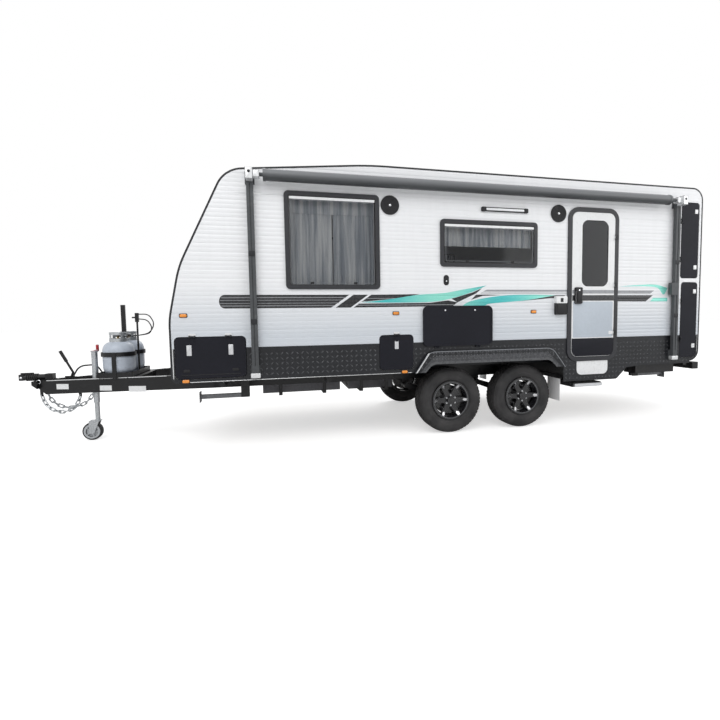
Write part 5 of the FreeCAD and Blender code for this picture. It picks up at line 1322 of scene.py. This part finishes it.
def slot_on(batch, starts, ray):
    """A thin dark strip laid over a sloping face, found by four rays."""
    hits = [tree_of("roof_fittings").ray_cast(start, ray)[:2] for start in starts]
    if any(point is None for point, _ in hits):
        return
    normal = hits[0][1] if hits[0][1].dot(ray) < 0 else -hits[0][1]
    batch.rings([[p + normal * lift for p, _ in hits] for lift in (-sunk, 0.0015)])


def gasket(batch, lo, hi, tall):
    wide = Vector((gasket_wide, gasket_wide, 0))
    batch.block(lo - wide, Vector((hi.x, hi.y, lo.z + tall)) + wide)


def make_cooler(lo, hi, dark):
    for k in range(slot_rows):
        z0 = lo.z + slot_rise + k * slot_pitch
        z1 = z0 + slot_tall
        for side in SIDES:
            for x0, x1 in side_slots:
                corners = box_outline(z0, z1, lo.x + x0, lo.x + x1)
                starts = [Vector((x, mid_y + side * 2, z)) for x, z in corners]
                slot_on(dark, starts, Vector((0, -side, 0)))
        near, far = rear_slot
        for y0, y1 in ((lo.y + near, lo.y + far), (hi.y - far, hi.y - near)):
            starts = [Vector((hi.x + 1, y, z)) for y, z in box_outline(z0, z1, y0, y1)]
            slot_on(dark, starts, Vector((-1, 0, 0)))
    gasket(dark, lo, hi, 0.010)


def make_hatch(lo, hi, dark, lids):
    gasket(dark, lo, hi, 0.012)
    rings = []
    for inset, rise in hatch_rings:
        radius = max(hatch_corner_r - inset / 4, 0.012)
        outline = rounded(*grown((lo.x, hi.x, lo.y, hi.y), -inset), radius)
        rings.append([Vector((x, y, hi.z + rise)) for x, y in outline])
    lids.rings(rings)


def make_roof_details():
    dark, lids = Batch(), Batch()
    for lo, hi in islands("roof_fittings"):
        if hi.x - lo.x > 0.6:
            make_cooler(lo, hi, dark)
        else:
            make_hatch(lo, hi, dark, lids)
    dark.finish("roof_gaskets", "body", "rubber")
    lids.finish("hatch_lids", "body", "clear", "white_panel")


make_roof_details()


# Awning: castings on its arms and a dark line of painted shade along the top of its roll

awning_roll_z = 2.682
awning_rear_in = 0.430
awning_arm_half = 0.032
awning_foot_half = 0.044
casting_half = 0.032
casting_run = 0.060
roll_out = 0.104
cover_skin = 0.001
slide_heights = (1.30, 1.95)
# A dark line of painted shade along the top of the awning roll
roll_shade_lean = math.radians(18)
roll_shade_inset = 0.075
roll_shade_r = 0.0042


def make_awning_castings():
    """Cast covers over the arms' top brackets, spindle blocks and wall feet."""
    castings, lips, roll_shade_line = Batch(), Batch(), Batch()
    arm, foot, spindle = (size + cover_skin for size in (awning_arm_half, awning_foot_half, casting_half))
    for lo, hi, _, x0, _, outer in sited("awning_arms"):
        front = x0 < body_length / 2
        x = x0 + awning_foot_half if front else body_length - awning_rear_in
        castings.side_pillow(
            (x - arm, x + arm, awning_roll_z - 0.056, hi.z + 0.001), 0.008, 0.070, outer + 0.0015, 0.006,
        )
        step = 1 if front else -1
        ends = sorted((x + step * awning_arm_half, x + step * (arm + casting_run)))
        castings.side_pillow(
            (*ends, awning_roll_z - spindle, awning_roll_z + spindle),
            0.010, roll_out - spindle, roll_out + spindle, 0.006,
        )
        castings.side_pillow((x - foot, x + foot, lo.z - 0.001, lo.z + 0.046), 0.010, 0.020, 0.071, 0.004)
        lips.dome(at(x, outer + 0.0015, awning_roll_z + 0.010), (0, -1, 0), 0.014, 0.006, 20, 4)
        for z in slide_heights:
            lips.side_pillow((x - 0.030, x + 0.030, z - 0.026, z + 0.026), 0.006, 0.060, 0.0715, 0.003)
    # painted shade: a dark line along the roll's top
    lo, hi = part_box("awning_roll")
    reach = (hi.z - lo.z) / 2
    y = (lo.y + hi.y) / 2 + reach * math.sin(roll_shade_lean)
    z = (lo.z + hi.z) / 2 + reach * math.cos(roll_shade_lean)
    roll_shade_line.tube([(x, y, z) for x in (lo.x + roll_shade_inset, hi.x - roll_shade_inset)], roll_shade_r)
    roll_shade_line.finish("awning_roll_shade_line", "body", "trim")
    castings.finish("awning_castings", "body", "casting")
    lips.finish("awning_slides", "body", "trim")


# Wheel flares and their painted highlights, lower edges, the drawbar arms' painted highlight and the
# drawbar's plates

flare_outer = ((2.4027, 0.726), (2.5577, 0.950), (4.0557, 0.950), (4.2277, 0.726))
flare_inner = ((2.4547, 0.726), (2.6097, 0.898), (4.0037, 0.898), (4.1757, 0.726))
apron_lip = ((2.4967, 0.726), (2.5827, 0.840), (4.0397, 0.840), (4.1337, 0.726))
apron_inner = ((2.5147, 0.726), (2.5927, 0.812), (4.0297, 0.812), (4.1157, 0.726))
flare_outer_r, flare_inner_r, apron_lip_r, apron_inner_r = 0.142, 0.090, 0.112, 0.120
# A bright strip of painted highlight down each flare's slanted front leg
leg_highlight = ((2.4027, 0.726), (2.4197, 0.726), (2.5627, 0.932), (2.5457, 0.932))
apron_back = 0.006
apron_skin = 0.0015
apron_pitch = 0.034
apron_margin = 0.045
apron_top = 0.932
# The grey line of painted highlight round each flare's rim
flare_rim_highlight_r = 0.0045
edge_line_x = (0.10, 2.37)
edge_line_z = 0.7295
# Points of the painted highlight along the top edge of each drawbar arm; the far arm takes them mirrored
drawbar_highlight_line = ((-1.500, 0.1136, 0.678), (-0.20, 0.4974, 0.7206))
drawbar_tip = (-1.590, 0.087)
drawbar_run = (1.890, 0.558)
drawbar_plates = (
    (0.583, 0.641, -1.393, -1.262), (0.565, 0.622, -0.923, -0.795), (0.549, 0.613, -0.611, -0.427),
)


def make_flare_aprons():
    """The checker-plate apron hanging from each flare, with its smooth dark rolled lip painted lighter as
    painted highlight, and a bright front leg and a grey rim line that are painted highlights.
    """
    for side, name in SIDES.items():
        out = face_out("wheel_arches", 3.3, 0.925, side)
        apron, lip, strip, edge = Batch(), Batch(), Batch(), Batch()
        rolled = filleted(apron_lip, apron_lip_r)
        for batch, low, high, proud in (
            (apron, rolled, filleted(flare_inner, flare_inner_r), apron_skin),
            (lip, filleted(apron_inner, apron_inner_r), rolled, apron_skin * 2),
        ):
            for k in range(len(low) - 1):
                outline = (low[k], low[k + 1], high[k + 1], high[k])
                batch.side_slab(outline, out - apron_back, out + proud, side)
        start, end = flare_outer[1][0], flare_outer[2][0]
        for i in range(int((end - start) / apron_pitch)):
            for j in range(3):
                x, z = start + apron_margin + i * apron_pitch, apron_top - j * apron_pitch
                place = at(x, out + apron_skin, z, side)
                lozenge(apron, place, Vector((0, side, 0)), (i + j) % 2)
        # painted highlight down the front leg
        strip.side_slab(leg_highlight, out - sunk, out + 0.004, side)
        # painted highlight along the flare's rim
        rim = filleted(flare_outer, flare_outer_r)
        edge.tube([at(x, out, z - 0.004, side) for x, z in rim], flare_rim_highlight_r)
        apron.finish(f"flare_apron_{name}", "body", "lozenge", "black_checker")
        # the rolled lip, painted lighter as painted highlight
        lip.finish(f"flare_lip_highlight_{name}", "body", "flare_lip_highlight")
        strip.finish(f"flare_leg_highlight_{name}", "body", "casting", bevel=0.001)
        edge.finish(f"flare_rim_highlight_{name}", "body", "edge_highlight")


def make_lower_edges():
    """A bright line along the foot of the skirts, and a line of painted highlight along the top edge of each
    drawbar arm.
    """
    line = Batch()
    for side in SIDES:
        foot = face_out("skirts", 0.70, 0.74, side)
        line.tube([at(x, foot, edge_line_z, side) for x in edge_line_x], 0.0030)
        # painted highlight along the top edge of each drawbar arm
        line.tube([from_nose(x, side * across, z) for x, across, z in drawbar_highlight_line], 0.0042)
    line.finish("lower_edges_and_drawbar_highlight", "body", "casting")


def drawbar_face(x):
    """How far from the mid-plane the drawbar arms' outer faces lie."""
    return drawbar_tip[1] + (x - drawbar_tip[0]) * drawbar_run[1] / drawbar_run[0]


def make_drawbar_plates():
    """Blank pale plates on the drawbar's near arm."""
    plates = Batch()
    outward = Vector((-drawbar_run[1], -drawbar_run[0], 0)).normalized()
    for spans in drawbar_plates:
        corners = [from_nose(x, -drawbar_face(x), z) for x, z in box_outline(*spans)]
        plates.rings([[c + outward * lift for c in corners] for lift in (-sunk, 0.0015)])
    plates.finish("drawbar_plates", "body", "decal_white", bevel=0.0004)


make_awning_castings()
make_flare_aprons()
make_lower_edges()
make_drawbar_plates()


# Coupling, jockey stand, hinge caps and gas bottles

coupling_pin = (-1.777, -0.5, 0.711)
shackle = (-1.585, -0.094, 0.666)
shackle_r = 0.019
tube_cap = (-1.000, -0.1662, 0.9850)
tube_cap_profile = ((0.0006, 0.0), (0.0312, 0.0), (0.0312, 0.009), (0.027, 0.0135), (0.0006, 0.0145))
knob = (-1.000, -0.0712, 0.9855)
knob_profile = (
    (0.0006, 0.0), (0.0125, 0.0), (0.0148, 0.004), (0.0150, 0.058), (0.0150, 0.070), (0.0120, 0.0765),
    (0.0006, 0.0775),
)
jockey_disc_profiles = (
    ((0.0610, 0.0345), (0.0610, 0.0362), (0.0810, 0.0362), (0.0820, 0.0345)),
    ((0.0245, 0.0170), (0.0245, 0.0187), (0.0595, 0.0187), (0.0595, 0.0170)),
)
jockey_ribs = 5
jockey_rib_half = 0.0045
jockey_rib_foot = 0.018
jockey_rib_ends = ((0.0240, 0.0340), (0.0615, 0.0355))
upright_leaf = 0.045
lid_leaf = 0.060


def make_front_details():
    bright, red = Batch(), Batch()
    hit = tree_of("coupling").ray_cast(from_nose(*coupling_pin), Vector((0, 1, 0)))[0]
    bright.dome(hit + Vector((0, 0.0015, 0)), (0, -1, 0), 0.013, 0.008, 20, 4)
    angles = [2 * math.pi * k / 20 for k in range(21)]
    centre = from_nose(*shackle)
    bright.tube([centre + Vector((math.cos(a), 0, math.sin(a))) * shackle_r for a in angles], 0.0042)
    bright.finish("coupling_bright", "body", "bright", "bright_steel")
    red.lathe(tube_cap_profile, from_nose(*tube_cap), UP, 40)
    red.lathe(knob_profile, from_nose(*knob), UP, 32)
    red.finish("jockey_grips", "body", "red_paint")


def make_jockey_wheel():
    """The pressed pale wheel inside the jockey's rubber tread."""
    lo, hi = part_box("jockey_wheel")
    centre = (lo + hi) / 2
    wheel = Batch()
    for side in SIDES:
        for profile in jockey_disc_profiles:
            wheel.lathe(profile, centre, (0, side, 0))
        for k in range(jockey_ribs):
            angle = 2 * math.pi * k / jockey_ribs
            along = Vector((math.cos(angle), 0, math.sin(angle)))
            beside = Vector((-math.sin(angle), 0, math.cos(angle))) * jockey_rib_half
            wheel.rings([
                [centre + along * r + beside * i + Vector((0, side * y, 0)) for i, y in (
                    (-1, jockey_rib_foot), (1, jockey_rib_foot), (1, out), (-1, out))]
                for r, out in jockey_rib_ends
            ])
    wheel.finish("jockey_wheel_disc", "jockey_wheel", "wheel_grey")


def make_hinge_covers():
    """White caps on the hinge leaves that lie on the white boards."""
    caps = Batch()
    for lo, hi, side, x0, x1, _ in sited("hinges"):
        upright = x1 - x0 < upright_leaf
        if hi.z < skirt_top + 0.02 or abs(hi.z - lo.z - lid_leaf) < 0.004 and not upright:
            continue
        if upright:
            span = (x0 - 0.0008, x0 + 0.0215, lo.z - 0.0008, hi.z + 0.0008)
            out = face_out("hinges", x0 + 0.006, (lo.z + hi.z) / 2, side)
        else:
            span = (x0 - 0.0008, x1 + 0.0008, hi.z - 0.0225, hi.z + 0.001)
            out = face_out("hinges", (x0 + x1) / 2, hi.z - 0.006, side)
        caps.side_pillow(span, 0.003, 0.0, out + 0.001, 0.0015, side)
    caps.finish("hinge_leaf_caps", "body", "white", "white_panel")


bottle_profile = (
    (0.0006, 0.020), (0.100, 0.020), (0.128, 0.026), (0.146, 0.045), (0.155, 0.070), (0.158, 0.100),
    (0.158, 0.183), (0.1592, 0.185), (0.1592, 0.191), (0.158, 0.193), (0.158, 0.262), (0.1565, 0.290),
    (0.150, 0.318), (0.138, 0.342), (0.120, 0.360), (0.098, 0.372), (0.070, 0.379), (0.030, 0.383),
    (0.0006, 0.384),
)
bottle_foot = ((0.123, 0.0), (0.128, 0.0), (0.128, 0.034), (0.123, 0.034))
bottle_sides = 96
hand_wheel_profile = (
    (0.0006, 0.430), (0.020, 0.430), (0.029, 0.434), (0.030, 0.440), (0.029, 0.446), (0.020, 0.449),
    (0.0006, 0.449),
)
valve_rods = (((0, 0, 0.380), (0, 0, 0.432), 0.014, 6), ((0, -0.040, 0.408), (0, 0.020, 0.408), 0.011, 12))
collar_inner_r, collar_outer_r = 0.081, 0.086
collar_z = (0.366, 0.482)
collar_window = (0.4133, 0.4527)
collar_turn = 64
collar_posts = (6, 7, 8, 9)
collar_post_pitch = 16
bead_r = 0.0042
bead_in = 0.0025


def make_collar(batch, centre):
    """A rolled guard ring with four windows."""
    corners = ((collar_inner_r, 0), (collar_outer_r, 0), (collar_outer_r, 1), (collar_inner_r, 1))
    turns = [2 * math.pi * k / collar_turn for k in range(collar_turn + 1)]
    radials = [Vector((math.cos(turn), math.sin(turn), 0)) for turn in turns]

    def wedge(k, *levels):
        ends = radials[k:k + 2]
        batch.rings([[centre + end * r + UP * levels[i] for r, i in corners] for end in ends])

    for k in range(collar_turn):
        wedge(k, collar_z[0], collar_window[0])
        wedge(k, collar_window[1], collar_z[1])
        if k % collar_post_pitch in collar_posts:
            wedge(k, *collar_window)
    bead = []
    for j in range(10):
        angle = math.pi * j / 5
        r = collar_outer_r - bead_in + bead_r * math.cos(angle)
        bead.append((r, collar_z[1] - bead_r + bead_r * math.sin(angle)))
    batch.lathe(bead, centre, UP, collar_turn)


def make_gas_bottles():
    body, collar, brass, wheel = Batch(), Batch(), Batch(), Batch()
    for lo, hi in islands("gas_bottles"):
        centre = Vector(((lo.x + hi.x) / 2, (lo.y + hi.y) / 2, lo.z))
        body.lathe(bottle_profile, centre, UP, bottle_sides)
        body.lathe(bottle_foot, centre, UP, bottle_sides)
        make_collar(collar, centre)
        for start, end, radius, sides in valve_rods:
            brass.rod(centre + Vector(start), centre + Vector(end), radius, sides)
        wheel.lathe(hand_wheel_profile, centre, UP, 40)
    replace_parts(body.finish("bottle_shells", "body", "bottle", "bottle_grey", angle=50), "gas_bottles")
    collar.finish("bottle_collars", "body", "zinc", "steady_zinc")
    brass.finish("bottle_valves", "body", "brass", bevel=0.001)
    wheel.finish("bottle_hand_wheels", "body", "plastic", "black_plastic")


make_front_details()
make_jockey_wheel()
make_hinge_covers()
make_gas_bottles()


# Wheel faces: machined spoke edges, nuts and a ring on the rim's lip

spoke_count = 6
spoke_hub_r, spoke_hub_half = 0.080, 0.033
spoke_tip_r, spoke_tip_half = 0.198, 0.023
spoke_edge = ((0.108, 0.0015), (0.196, 0.0015), (0.196, 0.0120), (0.150, 0.0100), (0.108, 0.0050))
tip_outer_r, tip_outer_in = 0.197, 0.0015
tip_inner_r, tip_inner_in = 0.172, 0.005
tip_point_r = 0.148
nut_ring_r = 0.057
rim_lip_r = 0.2035
rim_lip_wire = 0.0022
wheel_ends = [
    (end, hand, side) for end in ("front", "rear") for hand, side in (("left", NEAR), ("right", FAR))
]


def spoke_half(r):
    share = (r - spoke_hub_r) / (spoke_tip_r - spoke_hub_r)
    return spoke_hub_half + (spoke_tip_half - spoke_hub_half) * share


def make_rim_face(node, body, place):
    """Bright accents over one rim; place(u, v, out) gives a point on its face."""
    machined, nuts, ring = Batch(), Batch(), Batch()
    for i in range(spoke_count):
        angle = 2 * math.pi * (i + 0.5) / spoke_count
        along = Vector((math.sin(angle), math.cos(angle)))
        beside = Vector((math.cos(angle), -math.sin(angle)))
        outer, inner = spoke_half(tip_outer_r) - tip_outer_in, spoke_half(tip_inner_r) - tip_inner_in
        tip = (
            (tip_outer_r, -outer), (tip_outer_r, outer), (tip_inner_r, inner), (tip_point_r, 0.0),
            (tip_inner_r, -inner),
        )
        edges = [[(r, lean * (spoke_half(r) - inset)) for r, inset in spoke_edge] for lean in (-1, 1)]
        for outline, proud in ((edges[0], 0.0012), (edges[1], 0.0012), (tip, 0.0013)):
            flat = [along * r + beside * w for r, w in outline]
            machined.rings([[place(u, v, lift) for u, v in flat] for lift in (-sunk, proud)])
        turn = 2 * math.pi * i / spoke_count
        u, v = nut_ring_r * math.sin(turn), nut_ring_r * math.cos(turn)
        nuts.rod(place(u, v, -0.002), place(u, v, 0.012), 0.0105, 6)
        nuts.rod(place(u, v, 0.011), place(u, v, 0.017), 0.0085, 12, 0.0055)
    angles = [2 * math.pi * k / 72 for k in range(73)]
    ring.tube([place(rim_lip_r * math.sin(t), rim_lip_r * math.cos(t), 0.0) for t in angles], rim_lip_wire)
    ring.finish(f"{node}_lip", body, "steady")
    machined.finish(f"{node}_machined", body, "machined")
    nuts.finish(f"{node}_nuts", body, "bright", "bright_steel")


def make_wheel_faces():
    for end, hand, side in wheel_ends:
        node = f"rim_{end}_{hand}"
        lo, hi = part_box(node)
        x, z = (lo.x + hi.x) / 2 - front_x, (lo.z + hi.z) / 2

        def place(u, v, lift, node=node, x=x, z=z, side=side):
            start = at(x + u * 0.999, 0.5, z + v * 0.999, side)
            hit = tree_of(node).ray_cast(start, Vector((0, -side, 0)))[0]
            return at(x + u, side * (hit.y - mid_y) - half + lift, z + v, side)

        make_rim_face(node, f"wheel_{end}_{hand}", place)
    lo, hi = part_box("spare_rim")
    centre = (lo + hi) / 2
    spare = tree_of("spare_rim")

    def place_spare(u, v, lift):
        start = centre + Vector((2, u, v))
        hit = spare.ray_cast(start, Vector((-1, 0, 0)))[0]
        hit = hit or spare.find_nearest(Vector((hi.x, start.y, start.z)))[0]
        return Vector((hit.x + lift, start.y, start.z))

    make_rim_face("spare_rim", "body", place_spare)


# Tyres with their own tread

tyre_groove = 0.009
tyre_wall = (
    (0.2216, 0.026), (0.228, 0.017), (0.240, 0.010), (0.246, 0.006), (0.250, 0.0062), (0.262, 0.0015),
    (0.278, 0.0), (0.294, 0.0005), (0.296, 0.0020), (0.318, 0.0035), (0.338, 0.010), (0.340, 0.013),
    (0.352, 0.021),
)
tyre_shoulder = ((0.004, 0.030), (0.0, 0.046))
tread_count = 54
tread_in = 0.030
tread_taper = 0.93
tyre_sides = 96


def make_tyre(node, body, turn, across):
    """A tyre turned about one axis, with its rows of tread blocks."""
    lo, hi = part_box(node)
    centre = (lo + hi) / 2
    turn, across = Vector(turn), Vector(across)
    half_wide = (hi - lo).dot(turn) / 2
    radius = (hi.z - lo.z) / 2
    side_profile = [(r, half_wide - inset) for r, inset in tyre_wall]
    side_profile += [(radius - tyre_groove - drop, half_wide - inset) for drop, inset in tyre_shoulder]
    batch = Batch()
    batch.lathe(side_profile + [(r, -a) for r, a in reversed(side_profile)], centre, turn, tyre_sides)

    def tread_block(angle, spread, a0, a1, low, high, skew, fall=0.0):
        """A block from a0 to a1 across the tyre, lower by fall at a1."""
        corners = (
            (-spread - skew, a0, 0.0), (spread - skew, a0, 0.0),
            (spread + skew, a1, fall), (-spread + skew, a1, fall),
        )
        rings = []
        for r, share in ((low, 1.0), (high, tread_taper)):
            ring = []
            for t, a, drop in corners:
                place = angle + t * share
                radial = across * math.cos(place) + UP * math.sin(place)
                ring.append(centre + radial * (r - drop) + turn * a)
            rings.append(ring)
        batch.rings(rings)

    step = 2 * math.pi / tread_count
    floor = radius - tyre_groove - 0.002
    tread = half_wide - tread_in
    edge = half_wide - 0.014
    for k in range(tread_count):
        angle = k * step
        tread_block(angle, step * 0.40, -0.018, 0.018, floor, radius - 0.0004, 0.012)
        end_share = 0.36 if k % 2 else 0.26
        rows = (
            (angle + step / 2, 0.41, 0.025, 0.057, floor, radius - 0.0006, 0.010, 0.0),
            (angle, 0.38, 0.064, tread, floor, radius - 0.0012, -0.006, 0.006),
            (angle, end_share, tread - 0.004, edge, radius - 0.022, radius - 0.0085, 0.0, 0.017),
        )
        for side in SIDES:
            for place, share, a0, a1, low, high, skew, fall in rows:
                tread_block(place, step * share, side * a0, side * a1, low, high, skew * side, fall)
    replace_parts(batch.finish(f"{node}_detailed", body, "tyre", "tyre", angle=30), node)


for end, hand, _ in wheel_ends:
    make_tyre(f"tyre_{end}_{hand}", f"wheel_{end}_{hand}", (0, 1, 0), (1, 0, 0))
make_tyre("spare_tyre", "body", (1, 0, 0), (0, 1, 0))
make_wheel_faces()


# Stage and light

stage_half = 60.0
stage_glow = 0.55
world_dim, world_bright = 0.55, 1.0
lamps = (
    ("key", (-4.0, -8.0, 8.5), (8, 6), 430),
    ("fill", (8.0, -7.0, 4.0), (7, 5), 170),
    ("back", (2.0, 9.0, 8.0), (8, 6), 380),
)


def make_stage():
    batch = Batch()
    corners = [(-1, -1), (1, -1), (1, 1), (-1, 1)]
    batch.add([(x * stage_half, y * stage_half, 0) for x, y in corners], [(0, 1, 2, 3)])
    floor = show("stage_floor", batch.mesh("stage_floor"))
    material, tree = new_material("stage_pale")
    ray = tree.nodes.new("ShaderNodeLightPath")
    seen = calculate(tree, "MULTIPLY", ray.outputs["Is Camera Ray"], stage_glow)
    dress(
        material, (0.90, 0.90, 0.90, 1), 0.9,
        Specular_IOR_Level=0.1, Emission_Color=(1, 1, 1, 1), Emission_Strength=seen,
    )
    floor.data.materials.append(material)


def make_world():
    world = bpy.data.worlds.new("world")
    bpy.context.scene.world = world
    world.use_nodes = True
    tree = world.node_tree
    back = tree.nodes["Background"]
    back.inputs["Color"].default_value = (1, 1, 1, 1)
    ray = tree.nodes.new("ShaderNodeLightPath").outputs
    first = calculate(tree, "MAXIMUM", ray["Is Camera Ray"], ray["Is Glossy Ray"])
    second = calculate(tree, "MAXIMUM", first, ray["Is Transmission Ray"])
    tree.links.new(remap(tree, second, world_dim, world_bright), back.inputs["Strength"])


def make_lights():
    middle = at(body_length / 2, -half, 1.2)
    for name, place, size, power in lamps:
        data = bpy.data.lights.new(name, "AREA")
        data.shape = "RECTANGLE"
        data.size, data.size_y = size
        data.energy = power
        light = show(name, data)
        light.location = place
        light.rotation_euler = (middle - Vector(place)).to_track_quat("-Z", "Y").to_euler()
    bpy.context.scene.view_settings.view_transform = "Standard"


make_stage()
make_world()
make_lights()
